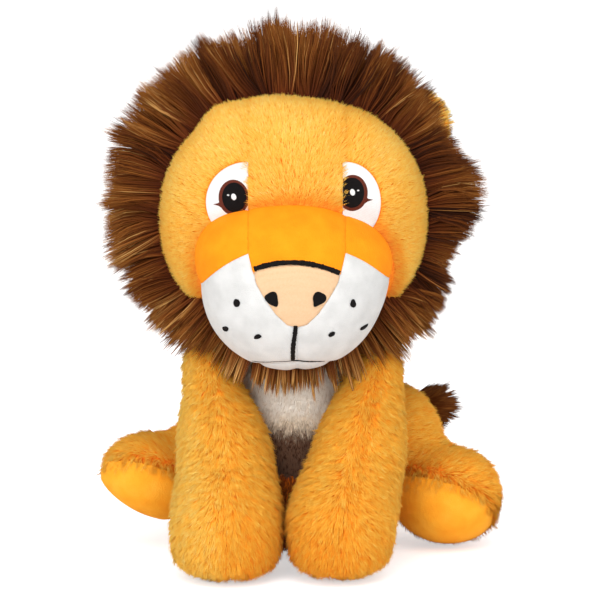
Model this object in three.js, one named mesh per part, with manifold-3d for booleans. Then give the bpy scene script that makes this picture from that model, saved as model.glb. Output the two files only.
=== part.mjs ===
// A sitting plush lion with a long-pile mane, in millimetres. Z is up, the lion faces -Y, and the origin is the
// middle of the flat seat panel it sits on. Left and right are the lion's own, so its left is at +X.
// Each skin panel is one cut of plush or velboa at its full thickness, pile included, and lies round a separate
// stuffing. The limbs, ears and tail turn on their sewn roots, and the head turns and nods on the neck dome.
import * as THREE from "three";
import { mergeVertices } from "three/addons/utils/BufferGeometryUtils.js";
import Module from "manifold-3d";

const wasm = await Module();
wasm.setup();

// Fabrics and fits
const PLUSH = 4; // head and torso plush, backing and pile together
const LEG_PLUSH = 5; // the longer plush of the legs
const VELBOA = 2; // short smooth fabric of the muzzle, bib and soles
const THREAD = 0.9; // how high satin stitching stands
const FIT = 0.3; // air between neighbouring pieces
const PLAY = 0.8; // air round a piece that turns
const OVERRUN = 60; // how far a cutting prism runs past what it cuts

// Torso
const TORSO_HALF_WIDTH = 40;
const TORSO_HALF_DEPTH = 43;
const TORSO_HEIGHT = 84; // seat to the middle of the neck dome
const TORSO_Y = 14;
const NECK_Y = 2;
const NECK_R = 26;
const SEAT_PANEL_TOP = 7;
const BEAN_BAG_TOP = 26;
const BIB_HALF_WIDTH = 25;
const BIB_LENGTH = 44; // below the middle of the neck dome
const NECK_STITCH_R = 0.9;
const NECK_STITCH_TILT = 62; // degrees from the top of the neck dome

// Head and muzzle
const HEAD_HALF_WIDTH = 65;
const HEAD_HALF_DEPTH = 52;
const HEAD_HALF_HEIGHT = 59;
const NECK_SINK = 12; // how far the neck dome stands in the head
const HAIRLINE = 15; // from the middle of the head forward to the seam where the mane begins
const UNDER_HEAD_TOP = 5; // height of the panel under the head
const GUSSET_HALF_WIDTH = 21.7; // half the strip from forehead to nose
const MUZZLE_HALF_WIDTH = 45.5;
const MUZZLE_HALF_DEPTH = 37;
const MUZZLE_HALF_HEIGHT = 38.5;
const MUZZLE_SINK = 14; // how far the muzzle's middle lies behind the front of the head
const MUZZLE_DROP = 26; // how far it lies below the middle of the head
const LIP_HALF_WIDTH = 47; // outline of the white part, seen from the front
const LIP_RISE = 38;
const LIP_MIDDLE_RISE = 24.5; // from the muzzle's lowest point to the middle of that outline
const NOSE_HALF_WIDTH = 19;
const NOSE_TOP_HALF_WIDTH = 36; // the ellipse that the top edge of the nose follows
const NOSE_RISE = 27.5;
const NOSE_DROP = 12; // from the middle of the muzzle to the tip of the nose
const CHIN_RISE = 7; // from the lowest point of the muzzle to the mouth

// Stitched face details
const STITCH_WIDTH = 2.2;
const NOSTRIL_X = 9.8;
const NOSTRIL_RISE = 12.6; // above the tip of the nose
const NOSTRIL_LENGTH = 7.8;
const NOSTRIL_WIDTH = 5.2;
const NOSTRIL_TILT = 36; // degrees
const DOT_R = 1.5;
const EYE_RISE = 14.6; // from the middle of the head to the middle of the iris
const WHITE_DROP = 2.8; // from the middle of the iris to the middle of the white
const WHITE_HALF_WIDTH = { left: 17.8, right: 20.4 };
const WHITE_HALF_HEIGHT = 18;
const IRIS_INSET = { left: 4.9, right: 6.7 }; // from the gusset's seam to the middle of the iris
const IRIS_HALF_WIDTH = 6.9;
const IRIS_HALF_HEIGHT = 8.1;
const IRIS_RIM = 1.4;
const GLINT_R = 1.4;

// Mane, beard and ears
const MANE_REACH_SIDE = 23; // past the side of the head
const MANE_REACH_TOP = 34;
const MANE_REACH_BACK = 17;
const MANE_FLARE = 7; // how far the tips of its front edge stand in front of the hairline
const MANE_TUFTS = 14;
const MANE_TUFT_DEPTH = 3.2;
const BEARD_HALF_WIDTH = 16;
const BEARD_HALF_DEPTH = 9;
const BEARD_HALF_HEIGHT = 10;
const BEARD_HANG = 5.5; // below the lowest point of the muzzle
const EAR_R = 20;
const EAR_HALF_THICKNESS = 5;
const EAR_ANGLE = 37; // degrees above the level line through the head
const EAR_BACK = 17; // behind the middle of the head
const EAR_FOLD = 25; // degrees

// Forelegs, from the shoulder to the middle of the leg and the middle of the paw
const SHOULDER_R = 15;
const SHOULDER_SINK = 5; // how deep the shoulder's root lies in the side of the neck dome
const SHOULDER_FORWARD = 16; // in front of the neck
const FORELEG_X = { left: 27.5, right: 31.5 };
const FORELEG_FORWARD = 24; // in front of the shoulder
const FORELEG_DROP = 34; // below the shoulder
const FORELEG_R = 23;
const FOREPAW_FORWARD = 43; // in front of the shoulder
const FOREPAW_R = 26.4;
const FOREPAWS_X = -6; // the plane where the two paws meet
const FOREPAW_FLAT = 1.2; // how much the weight flattens a paw
const FOREPAW_PRESS = 0.8; // how much each paw flattens against the other

// Hind legs, from the haunch at the hip to the shin and the paw with its sole
const HIP_SINK = 4; // from the widest part of the torso in to the flat where the haunch is sewn on
const HIP_BACK = 10; // behind the middle of the torso
const HIP_Z = 48;
const HAUNCH_R = 24.5;
const HAUNCH_OUT = { left: 4, right: -6 }; // from the hip to the middle of the haunch
const SHIN_R = 17.5;
const SHIN_SHARE = 0.5; // where the shin is narrowest, from the haunch to the paw
const SHIN_DROP = 9; // how far the leg sags there
const HINDPAW_R = { left: 24.5, right: 22.5 };
const HINDPAW_OUT = { left: 32, right: 31 };
const HINDPAW_FORWARD = { left: 21, right: 15 };
const HINDPAW_LIFT = { left: 0, right: 9 };
const HINDPAW_FLAT = 0.8;
const SOLE_FORWARD = 12; // from the middle of the paw forward to the sole's seam

// Tail
const TAIL_R = 6;
const TAIL_X = 8;
const TAIL_Z = 24;
const TAIL_REACH = 38;
const TAIL_RISE = 29;
const TAIL_BACK = 11;
const TUFT_R = 10.5;
const TUFT_LENGTH = 30;

// Places that follow from the sizes above
const SIDES = { right: -1, left: 1 };
const NECK = new THREE.Vector3(0, NECK_Y, TORSO_HEIGHT);
const HEAD = new THREE.Vector3(0, 0, TORSO_HEIGHT + NECK_R - NECK_SINK + HEAD_HALF_HEIGHT);
const HEAD_HALF = new THREE.Vector3(HEAD_HALF_WIDTH, HEAD_HALF_DEPTH, HEAD_HALF_HEIGHT);
const MUZZLE = new THREE.Vector3(0, MUZZLE_SINK - HEAD_HALF_DEPTH, HEAD.z - MUZZLE_DROP);
const MUZZLE_HALF = new THREE.Vector3(MUZZLE_HALF_WIDTH, MUZZLE_HALF_DEPTH, MUZZLE_HALF_HEIGHT);
const MUZZLE_BOTTOM = MUZZLE.z - MUZZLE_HALF_HEIGHT;
const FACE_FRONT = MUZZLE.y - MUZZLE_HALF_DEPTH - OVERRUN;
const HAIRLINE_Y = HEAD.y - HAIRLINE;
const UNDER_HEAD_Z = HEAD.z - HEAD_HALF_HEIGHT + UNDER_HEAD_TOP;
const NOSE_TIP_Z = MUZZLE.z - NOSE_DROP;
const MOUTH_Z = MUZZLE_BOTTOM + CHIN_RISE;
const HIP_X = TORSO_HALF_WIDTH - HIP_SINK;

// Facets round and along the forms
const FORM_FACETS = [20, 12];
const CORE_FACETS = [14, 8];
const NECK_FACETS = [18, 10];
const SMALL_FACETS = [12, 8];
const LIMB_FACETS = { sides: 12, steps: 5 };
const LIMB_CORE_FACETS = { sides: 8, steps: 3 };
const CAP_STEPS = 3;
const THREAD_SIDES = 6;
const OUTLINE_STEPS = 9;
const DOT_STEPS = 4;
const SWEEP_STEP = 10; // degrees between the copies that clear a moving piece's path
const FULLNESS = 2.2; // power of the head's and muzzle's outlines: 2 is an ellipsoid, and more is fuller

// A closed geometry as a solid, with its faces turned outward
function solidOf(geometry) {
  const bare = new THREE.BufferGeometry();
  bare.setAttribute("position", geometry.getAttribute("position"));
  if (geometry.index) bare.setIndex(geometry.index);
  const merged = mergeVertices(bare, 1e-3);
  const corners = merged.index.array;
  const filled = [];
  for (let i = 0; i < corners.length; i += 3) {
    const [a, b, c] = corners.slice(i, i + 3);
    if (a !== b && b !== c && c !== a) filled.push(a, b, c);
  }
  const vertProperties = merged.attributes.position.array;
  const make = (triVerts) => new wasm.Manifold(new wasm.Mesh({ numProp: 3, vertProperties, triVerts }));
  const made = make(new Uint32Array(filled));
  return made.volume() > 0 ? made : make(new Uint32Array(filled).reverse());
}

function geometryOf(solid) {
  const { numProp, numVert, vertProperties, triVerts } = solid.getMesh();
  const places = new Float32Array(numVert * 3);
  for (let i = 0; i < numVert; i++)
    places.set(vertProperties.subarray(i * numProp, i * numProp + 3), i * 3);
  const geometry = new THREE.BufferGeometry();
  geometry.setAttribute("position", new THREE.BufferAttribute(places, 3));
  geometry.setIndex(new THREE.BufferAttribute(new Uint32Array(triVerts), 1));
  const faceted = geometry.toNonIndexed();
  faceted.computeVertexNormals();
  return faceted;
}

const joined = (...solids) => solids.reduce((sum, solid) => sum.add(solid));
const without = (solid, ...cutters) => cutters.reduce((rest, cutter) => rest.subtract(cutter), solid);

// The largest of the separate lumps that a cut can leave
const mainPiece = (solid) =>
  solid.decompose().reduce((most, lump) => (lump.volume() > most.volume() ? lump : most));

// What lies past a place along an axis, or short of it
const AXES = { x: [1, 0, 0], y: [0, 1, 0], z: [0, 0, 1] };
const above = (solid, axis, place) => solid.trimByPlane(AXES[axis], place);
const below = (solid, axis, place) => solid.trimByPlane(AXES[axis].map((n) => -n), -place);
const between = (solid, halfWidth) => below(above(solid, "x", -halfWidth), "x", halfWidth);
// What lies past place on one side of X: side 1 keeps x > place, and side -1 keeps x < -place
const beyond = (solid, side, place) => (side > 0 ? above(solid, "x", place) : below(solid, "x", -place));

// All the space that a solid passes through as it turns from rest to degrees about a line through pivot
function sweepOf(solid, pivot, axis, degrees) {
  const count = Math.ceil(degrees / SWEEP_STEP);
  const there = new THREE.Matrix4().makeTranslation(pivot);
  const back = there.clone().invert();
  const copies = [solid];
  for (let i = 1; i <= count; i++) {
    const angle = THREE.MathUtils.degToRad((degrees * i) / count);
    const turn = new THREE.Matrix4().makeRotationAxis(axis, angle);
    copies.push(solid.transform(there.clone().multiply(turn).multiply(back).elements));
  }
  return joined(...copies);
}

// A stuffed form: an ellipsoid with fuller shoulders as its power rises above 2. grow is added all round.
function roundForm(centre, half, grow = 0, facets = FORM_FACETS, power = 2) {
  const geometry = new THREE.SphereGeometry(1, ...facets);
  geometry.rotateX(Math.PI / 2);
  const reaches = half.clone().addScalar(grow);
  const places = geometry.getAttribute("position");
  const at = new THREE.Vector3();
  for (let i = 0; i < places.count; i++) {
    at.fromBufferAttribute(places, i);
    const reach = Math.abs(at.x) ** power + Math.abs(at.y) ** power + Math.abs(at.z) ** power;
    at.divideScalar(reach ** (1 / power)).multiply(reaches).add(centre);
    places.setXYZ(i, at.x, at.y, at.z);
  }
  return solidOf(geometry);
}

// A limb that swells and tapers along a curve through its stations, each { at, radius }, with round ends
function limbForm(stations, grow = 0, { sides, steps } = LIMB_FACETS) {
  const line = new THREE.CatmullRomCurve3(stations.map((station) => station.at));
  const frames = line.computeFrenetFrames(steps);
  const marks = [0];
  for (let i = 1; i < stations.length; i++)
    marks.push(marks[i - 1] + stations[i].at.distanceTo(stations[i - 1].at));
  const radiusAt = (share) => {
    const place = share * marks.at(-1);
    const i = Math.max(1, marks.findIndex((mark) => mark >= place - FIT));
    const swell = THREE.MathUtils.smoothstep(place, marks[i - 1], marks[i]);
    return THREE.MathUtils.lerp(stations[i - 1].radius, stations[i].radius, swell) + grow;
  };
  const ring = (step, out, shrink) => {
    const radius = radiusAt(step / steps);
    const middle = line.getPointAt(step / steps).addScaledVector(frames.tangents[step], out * radius);
    const places = [];
    for (let k = 0; k < sides; k++) {
      const turn = (k / sides) * 2 * Math.PI;
      const place = middle.clone();
      place.addScaledVector(frames.normals[step], shrink * radius * Math.cos(turn));
      place.addScaledVector(frames.binormals[step], shrink * radius * Math.sin(turn));
      places.push(place);
    }
    return places;
  };
  const capTurns = [];
  for (let i = CAP_STEPS - 1; i > 0; i--) capTurns.push((i / CAP_STEPS) * (Math.PI / 2));
  const rings = capTurns.map((turn) => ring(0, -Math.sin(turn), Math.cos(turn)));
  for (let step = 0; step <= steps; step++) rings.push(ring(step, 0, 1));
  for (const turn of capTurns.reverse()) rings.push(ring(steps, Math.sin(turn), Math.cos(turn)));
  const places = rings.flat();
  const first = places.push(ring(0, -1, 0)[0]) - 1;
  const last = places.push(ring(steps, 1, 0)[0]) - 1;
  const end = (rings.length - 1) * sides;
  const corners = [];
  for (let k = 0; k < sides; k++) {
    const next = (k + 1) % sides;
    corners.push(first, next, k, last, end + k, end + next);
    for (let row = 0; row < end; row += sides) {
      const [a, b] = [row + k, row + next];
      corners.push(a, b, b + sides, a, b + sides, a + sides);
    }
  }
  const geometry = new THREE.BufferGeometry().setFromPoints(places);
  geometry.setIndex(corners);
  return solidOf(geometry);
}

// A prism whose outline is drawn in X and Z, running along Y from front to back
function frontPrism(shape, front, back, curveSegments = OUTLINE_STEPS) {
  const depth = back - front;
  const geometry = new THREE.ExtrudeGeometry(shape, { depth, bevelEnabled: false, curveSegments });
  geometry.rotateX(Math.PI / 2);
  geometry.translate(0, back, 0);
  return solidOf(geometry);
}

function ellipse(x, z, halfWidth, halfHeight, tilt = 0) {
  const shape = new THREE.Shape();
  shape.absellipse(x, z, halfWidth, halfHeight, 0, 2 * Math.PI, false, tilt);
  return shape;
}

// A shape that is the same on both sides of X = 0, from its right half
function mirroredShape(half) {
  const points = half.map(([x, z]) => new THREE.Vector2(x, z));
  const other = half.filter(([x]) => x > 0).map(([x, z]) => new THREE.Vector2(-x, z));
  return new THREE.Shape([...points, ...other.reverse()]);
}

// Torso: a pear that leans forward to the neck, and the neck dome on top
const PEAR_SHARES = [
  [0, 0],
  [0.72, 0],
  [0.9, 0.08],
  [0.99, 0.21],
  [1, 0.36],
  [0.94, 0.53],
  [0.83, 0.7],
  [0.69, 0.85],
  [0.5, 0.97],
  [0, 1.02],
]; // [half width, height], as shares of the torso's
const BIB_SHARES = [
  [0, 0],
  [0.5, 0.06],
  [0.72, 0.34],
  [1, 1],
]; // [half width, height from its foot to the middle of the neck dome], as shares of the bib's

const neckBall = (grow, facets = NECK_FACETS) =>
  roundForm(NECK, new THREE.Vector3().setScalar(NECK_R), grow, facets);

function torsoForm(grow, facets = FORM_FACETS) {
  const halfWidth = TORSO_HALF_WIDTH + grow;
  const halfDepth = TORSO_HALF_DEPTH + grow;
  const height = TORSO_HEIGHT + 2 * grow;
  const outline = PEAR_SHARES.map(([wide, high]) => new THREE.Vector2(wide * halfWidth, high * height - grow));
  const geometry = new THREE.LatheGeometry(outline, facets[0]);
  geometry.rotateX(Math.PI / 2);
  const places = geometry.getAttribute("position");
  for (let i = 0; i < places.count; i++) {
    const lean = THREE.MathUtils.lerp(TORSO_Y, NECK_Y, places.getZ(i) / TORSO_HEIGHT);
    places.setY(i, (places.getY(i) * halfDepth) / halfWidth + lean);
  }
  const whole = joined(solidOf(geometry), neckBall(grow, grow < 0 ? facets : NECK_FACETS));
  return between(whole, HIP_X - PLAY / 2 + grow);
}

function neckStitchForm(grow) {
  const tilt = THREE.MathUtils.degToRad(NECK_STITCH_TILT);
  const reach = NECK_R - NECK_STITCH_R;
  const tube = NECK_STITCH_R + grow;
  const geometry = new THREE.TorusGeometry(reach * Math.sin(tilt), tube, THREAD_SIDES, FORM_FACETS[0]);
  geometry.translate(NECK.x, NECK.y, NECK.z + reach * Math.cos(tilt));
  return solidOf(geometry);
}

// Limbs as whole forms, with grow added all round
const shoulderPlace = (side) =>
  new THREE.Vector3(
    SIDES[side] * (NECK_R + SHOULDER_R - SHOULDER_SINK),
    NECK_Y - SHOULDER_FORWARD,
    TORSO_HEIGHT,
  );

function forelegStations(side) {
  const shoulder = shoulderPlace(side);
  const middle = new THREE.Vector3(SIDES[side] * FORELEG_X[side], shoulder.y, shoulder.z);
  const pawX = FOREPAWS_X + SIDES[side] * (FOREPAW_R - FOREPAW_PRESS);
  return [
    { at: shoulder, radius: SHOULDER_R },
    { at: middle.add(new THREE.Vector3(0, -FORELEG_FORWARD, -FORELEG_DROP)), radius: FORELEG_R },
    {
      at: new THREE.Vector3(pawX, shoulder.y - FOREPAW_FORWARD, FOREPAW_R - FOREPAW_FLAT),
      radius: FOREPAW_R,
    },
  ];
}

function forelegForm(side, grow = 0, facets = LIMB_FACETS) {
  const standing = above(limbForm(forelegStations(side), grow, facets), "z", -grow);
  return beyond(standing, SIDES[side], SIDES[side] * FOREPAWS_X + FIT / 2 - grow);
}

function hindlegStations(side) {
  const hip = new THREE.Vector3(SIDES[side] * HIP_X, TORSO_Y + HIP_BACK, HIP_Z);
  const haunch = hip.clone().add(new THREE.Vector3(SIDES[side] * HAUNCH_OUT[side], 0, 0));
  const paw = new THREE.Vector3(
    hip.x + SIDES[side] * HINDPAW_OUT[side],
    hip.y - HINDPAW_FORWARD[side],
    HINDPAW_R[side] + HINDPAW_LIFT[side] - HINDPAW_FLAT,
  );
  const shin = haunch.clone().lerp(paw, SHIN_SHARE);
  shin.z -= SHIN_DROP;
  return [
    { at: haunch, radius: HAUNCH_R },
    { at: shin, radius: SHIN_R },
    { at: paw, radius: HINDPAW_R[side] },
  ];
}

function hindlegForm(side, grow = 0, facets = LIMB_FACETS) {
  const whole = limbForm(hindlegStations(side), grow, facets);
  return above(beyond(whole, SIDES[side], HIP_X + PLAY / 2 - grow), "z", HINDPAW_LIFT[side] - grow);
}

// Ears and the line along an ear's base, about which it folds back
function earPlace(side) {
  const turn = THREE.MathUtils.degToRad(EAR_ANGLE);
  return new THREE.Vector3(
    SIDES[side] * HEAD_HALF_WIDTH * Math.cos(turn),
    HEAD.y + EAR_BACK,
    HEAD.z + HEAD_HALF_HEIGHT * Math.sin(turn),
  );
}

function earHinge(side) {
  const turn = THREE.MathUtils.degToRad(EAR_ANGLE);
  return new THREE.Vector3(-Math.sin(turn), 0, SIDES[side] * Math.cos(turn));
}

const earForm = (side, grow = 0) =>
  roundForm(earPlace(side), new THREE.Vector3(EAR_R, EAR_HALF_THICKNESS, EAR_R), grow, SMALL_FACETS, FULLNESS);

// Tail, from its root beside the middle of the back, round the haunch to the tuft
const tailRoot = new THREE.Vector3(TAIL_X, TORSO_Y + TORSO_HALF_DEPTH - TAIL_R / 2, TAIL_Z);
const fromTailRoot = (x, y, z) => tailRoot.clone().add(new THREE.Vector3(x, y, z));
const tailStations = [
  { at: tailRoot, radius: TAIL_R },
  { at: fromTailRoot(TAIL_REACH / 2, TAIL_BACK, TAIL_RISE / 4), radius: TAIL_R },
  { at: fromTailRoot(TAIL_REACH, TAIL_BACK, TAIL_RISE - TAIL_R), radius: TAIL_R },
];
const tuftPlace = fromTailRoot(TAIL_REACH + TUFT_LENGTH / 2, TAIL_BACK / 2, TAIL_RISE);

function tuftForm(grow = 0) {
  const half = new THREE.Vector3(TUFT_R, TUFT_R, TUFT_LENGTH / 2);
  const tuft = roundForm(new THREE.Vector3(), half, grow, SMALL_FACETS);
  const way = tuftPlace.clone().sub(tailStations.at(-1).at).normalize();
  const turn = new THREE.Quaternion().setFromUnitVectors(new THREE.Vector3(0, 0, 1), way);
  const pose = new THREE.Matrix4().compose(tuftPlace, turn, new THREE.Vector3(1, 1, 1));
  return tuft.transform(pose.elements);
}

// Head and muzzle
const headForm = (grow, facets = FORM_FACETS) => roundForm(HEAD, HEAD_HALF, grow, facets, FULLNESS);
const muzzleForm = (grow, facets = FORM_FACETS) => roundForm(MUZZLE, MUZZLE_HALF, grow, facets, FULLNESS);

// Mane: a flared rim round the face that closes over the back of the head, with its edge in tufts
const MANE_SHARES = [
  [0, 0],
  [0.64, 0],
  [0.95, 0],
  [1, 0.12],
  [0.96, 0.3],
  [0.88, 0.46],
  [0.77, 0.66],
  [0.5, 0.88],
  [0, 1],
]; // [reach from the middle, depth from the hairline to the back], as shares of the mane's
const MANE_RIM = 2; // the place in the list above of the front edge, which flares forward

function maneForm() {
  const front = HAIRLINE_Y + FIT / 2;
  const depth = HEAD.y + HEAD_HALF_DEPTH + MANE_REACH_BACK - front;
  const outline = MANE_SHARES.map(([reach, back]) => new THREE.Vector2(reach, back));
  const geometry = new THREE.LatheGeometry(outline, MANE_TUFTS * 2);
  const places = geometry.getAttribute("position");
  for (let i = 0; i < places.count; i++) {
    const hollow = Math.floor(i / MANE_SHARES.length) % 2;
    const notch = hollow * MANE_TUFT_DEPTH * Math.hypot(places.getX(i), places.getZ(i));
    const across = HEAD_HALF_WIDTH + MANE_REACH_SIDE - notch;
    const upright = HEAD_HALF_HEIGHT + MANE_REACH_TOP - notch;
    const flare = i % MANE_SHARES.length === MANE_RIM ? MANE_FLARE : 0;
    const y = front - flare + places.getY(i) * depth;
    places.setXYZ(i, places.getX(i) * across, y, HEAD.z + places.getZ(i) * upright);
  }
  return solidOf(geometry);
}

// Sewn outlines of the face, seen from the front
const NOSE_SIDE_SHARES = [
  [0, 0],
  [0.22, 0.03],
  [0.5, 0.22],
  [0.8, 0.52],
  [0.95, 0.7],
]; // [half width, height above the tip], as shares of the nose's
const NOSE_TOP_SHARES = [1, 0.75, 0.4, 0]; // of the nose's half width
const WHISKER_SHARES = [
  [0.59, 0.37],
  [0.7, -0.09],
  [0.38, -0.23],
]; // [out, up from the nose's tip], as shares of the muzzle's half width and the nose's height

const lipOutline = (grow) =>
  ellipse(0, MUZZLE_BOTTOM + LIP_MIDDLE_RISE, LIP_HALF_WIDTH + grow, LIP_RISE + grow);
const noseTopOutline = (grow) => ellipse(0, NOSE_TIP_Z, NOSE_TOP_HALF_WIDTH + grow, NOSE_RISE + grow);
const noseTopAt = (x, grow) =>
  NOSE_TIP_Z + (NOSE_RISE + grow) * Math.sqrt(1 - (x / (NOSE_TOP_HALF_WIDTH + grow)) ** 2);

function noseOutline(grow) {
  const halfWidth = NOSE_HALF_WIDTH + grow;
  const tip = NOSE_TIP_Z - grow;
  const side = NOSE_SIDE_SHARES.map(([wide, high]) => [wide * halfWidth, tip + high * (NOSE_RISE + grow)]);
  const top = NOSE_TOP_SHARES.map((share) => [share * halfWidth, noseTopAt(share * halfWidth, grow)]);
  return mirroredShape([...side, ...top]);
}

function noseStitchOutline() {
  const over = NOSE_TOP_SHARES.map((share) => share * NOSE_HALF_WIDTH);
  const under = [...over].reverse();
  return mirroredShape([
    ...under.map((x) => [x, noseTopAt(x, 0)]),
    ...over.map((x) => [x, noseTopAt(x, 0) + STITCH_WIDTH]),
  ]);
}

// The line from nose to mouth, and the mouth's two short arms
function mouthOutline() {
  const half = STITCH_WIDTH / 2;
  const foot = MOUTH_Z + half;
  const arm = NOSE_HALF_WIDTH - 2 * STITCH_WIDTH;
  return mirroredShape([
    [0, foot - half / 2],
    [arm, foot - STITCH_WIDTH],
    [arm, foot - half / 2],
    [half, foot + half],
    [half, NOSE_TIP_Z - half],
  ]);
}

// A raised patch on a curved form: the slab between two offsets of it, cut to an outline
function patchOn(form, outline, lift, steps) {
  const slab = form(lift + THREAD).subtract(form(lift));
  return slab.intersect(frontPrism(outline, FACE_FRONT, HAIRLINE_Y, steps));
}

// The group and its materials
const lion = new THREE.Group();
const FABRICS = {
  orangePlush: { color: 0xf2a33a, roughness: 0.95 },
  orangeVelboa: { color: 0xf9a01b, roughness: 0.8 },
  whiteVelboa: { color: 0xeceef0, roughness: 0.85 },
  peachThread: { color: 0xf3c79a, roughness: 0.75 },
  brownFur: { color: 0x53280f, roughness: 0.7 },
  brownThread: { color: 0x4a1d10, roughness: 0.6 },
  blackThread: { color: 0x15141a, roughness: 0.55 },
  whiteThread: { color: 0xf6f4f2, roughness: 0.6 },
  fibreFill: { color: 0xf4f4f0, roughness: 1 },
  beanCloth: { color: 0xd8d4cc, roughness: 0.9 },
};

function place(name, solid, fabric) {
  const material = new THREE.MeshStandardMaterial({ ...FABRICS[fabric], metalness: 0, flatShading: true });
  const mesh = new THREE.Mesh(geometryOf(mainPiece(solid)), material);
  mesh.name = name;
  lion.add(mesh);
}

function buildTorso() {
  // The forelegs and the tail swing away from the torso, so their rest places are all the room they need
  const seats = joined(
    forelegForm("left", PLAY),
    forelegForm("right", PLAY),
    limbForm(tailStations, PLAY, LIMB_CORE_FACETS),
    neckStitchForm(PLAY),
  );
  const skin = without(torsoForm(0), torsoForm(-PLUSH, CORE_FACETS), seats);
  const bibPrism = (grow) => {
    const foot = TORSO_HEIGHT - BIB_LENGTH - grow;
    const wide = BIB_HALF_WIDTH + grow;
    const half = BIB_SHARES.map(([out, up]) => [out * wide, foot + up * (BIB_LENGTH + grow)]);
    half.push([wide, TORSO_HEIGHT + NECK_R + OVERRUN]);
    return frontPrism(mirroredShape(half), -TORSO_HALF_DEPTH - OVERRUN, NECK_Y);
  };
  place("seat_panel", below(skin, "z", SEAT_PANEL_TOP - FIT / 2), "orangePlush");
  place("bib", above(skin.intersect(bibPrism(0)), "z", SEAT_PANEL_TOP), "whiteVelboa");
  const rest = above(skin, "z", SEAT_PANEL_TOP + FIT / 2).subtract(bibPrism(FIT));
  for (const side in SIDES) place(`body_panel_${side}`, beyond(rest, SIDES[side], FIT / 2), "orangePlush");
  const core = torsoForm(-PLUSH - FIT, CORE_FACETS).subtract(seats);
  place("bean_bag", below(core, "z", BEAN_BAG_TOP - FIT / 2), "beanCloth");
  place("body_stuffing", above(core, "z", BEAN_BAG_TOP + FIT / 2), "fibreFill");
  place("neck_stitch", neckStitchForm(0), "orangePlush");
}

function buildHead() {
  const socket = neckBall(PLAY);
  const skin = without(headForm(0), headForm(-PLUSH, CORE_FACETS), socket, muzzleForm(FIT / 2));
  place("under_head_panel", below(skin, "z", UNDER_HEAD_Z - FIT / 2), "orangePlush");
  const face = below(above(skin, "z", UNDER_HEAD_Z + FIT / 2), "y", HAIRLINE_Y - FIT / 2);
  place("forehead_gusset", above(between(face, GUSSET_HALF_WIDTH - FIT / 2), "z", HEAD.z), "orangePlush");
  for (const side in SIDES)
    place(`cheek_${side}`, beyond(face, SIDES[side], GUSSET_HALF_WIDTH + FIT / 2), "orangePlush");
  const earRooms = Object.keys(SIDES).map((side) =>
    sweepOf(earForm(side, PLAY), earPlace(side), earHinge(side), EAR_FOLD),
  );
  const mane = above(maneForm(), "z", UNDER_HEAD_Z + FIT / 2);
  const faceRoom = below(headForm(FIT), "y", HAIRLINE_Y + FIT / 2);
  const cut = without(mane, headForm(FIT - PLUSH, CORE_FACETS), faceRoom, muzzleForm(FIT), socket, ...earRooms);
  for (const side in SIDES) place(`mane_${side}`, beyond(cut, SIDES[side], FIT / 2), "brownFur");
  const inner = joined(headForm(-PLUSH - FIT, CORE_FACETS), muzzleForm(-VELBOA - FIT, CORE_FACETS));
  place("head_stuffing", inner.subtract(socket), "fibreFill");
}

function buildMuzzle() {
  const skin = without(muzzleForm(0), muzzleForm(-VELBOA, CORE_FACETS), headForm(FIT / 2), neckBall(PLAY));
  const prism = (outline) => frontPrism(outline, FACE_FRONT, MUZZLE.y + MUZZLE_HALF_DEPTH + OVERRUN);
  const nosePrism = (grow) => frontPrism(noseOutline(grow), FACE_FRONT, MUZZLE.y);
  place("nose", skin.intersect(nosePrism(-FIT / 2)), "peachThread");
  const strip = between(skin, GUSSET_HALF_WIDTH - FIT / 2);
  const bridge = without(strip, prism(noseTopOutline(FIT / 2)), nosePrism(FIT / 2));
  place("muzzle_bridge", above(bridge, "z", MUZZLE.z), "orangeVelboa");
  place("chin", below(skin, "z", MOUTH_Z - FIT / 2), "whiteVelboa");
  const upper = above(skin, "z", MOUTH_Z + FIT / 2);
  const white = upper.subtract(nosePrism(FIT / 2));
  const middle = between(white, GUSSET_HALF_WIDTH + FIT).intersect(prism(noseTopOutline(-FIT / 2)));
  for (const side in SIDES) {
    const outer = beyond(white, SIDES[side], GUSSET_HALF_WIDTH).intersect(prism(lipOutline(-FIT / 2)));
    place(`lip_${side}`, beyond(joined(outer, middle), SIDES[side], FIT / 2), "whiteVelboa");
    const top = beyond(upper, SIDES[side], GUSSET_HALF_WIDTH + FIT / 2);
    place(`muzzle_side_${side}`, top.subtract(prism(lipOutline(FIT / 2))), "orangeVelboa");
  }
}

function buildFaceStitching() {
  const add = (name, outline, fabric, steps) =>
    place(name, patchOn(muzzleForm, outline, FIT, steps), fabric);
  add("nose_top_stitch", noseStitchOutline(), "blackThread");
  add("mouth_stitch", mouthOutline(), "blackThread");
  for (const side in SIDES) {
    const way = SIDES[side];
    const tilt = way * THREE.MathUtils.degToRad(NOSTRIL_TILT);
    const nostril = ellipse(
      way * NOSTRIL_X,
      NOSE_TIP_Z + NOSTRIL_RISE,
      NOSTRIL_WIDTH / 2,
      NOSTRIL_LENGTH / 2,
      tilt,
    );
    add(`nostril_${side}`, nostril, "blackThread", DOT_STEPS);
    WHISKER_SHARES.forEach(([out, up], i) => {
      const x = way * out * MUZZLE_HALF_WIDTH;
      const dot = ellipse(x, NOSE_TIP_Z + up * NOSE_RISE, DOT_R, DOT_R);
      add(`whisker_dot_${side}_${i + 1}`, dot, "blackThread", DOT_STEPS);
    });
  }
}

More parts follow.
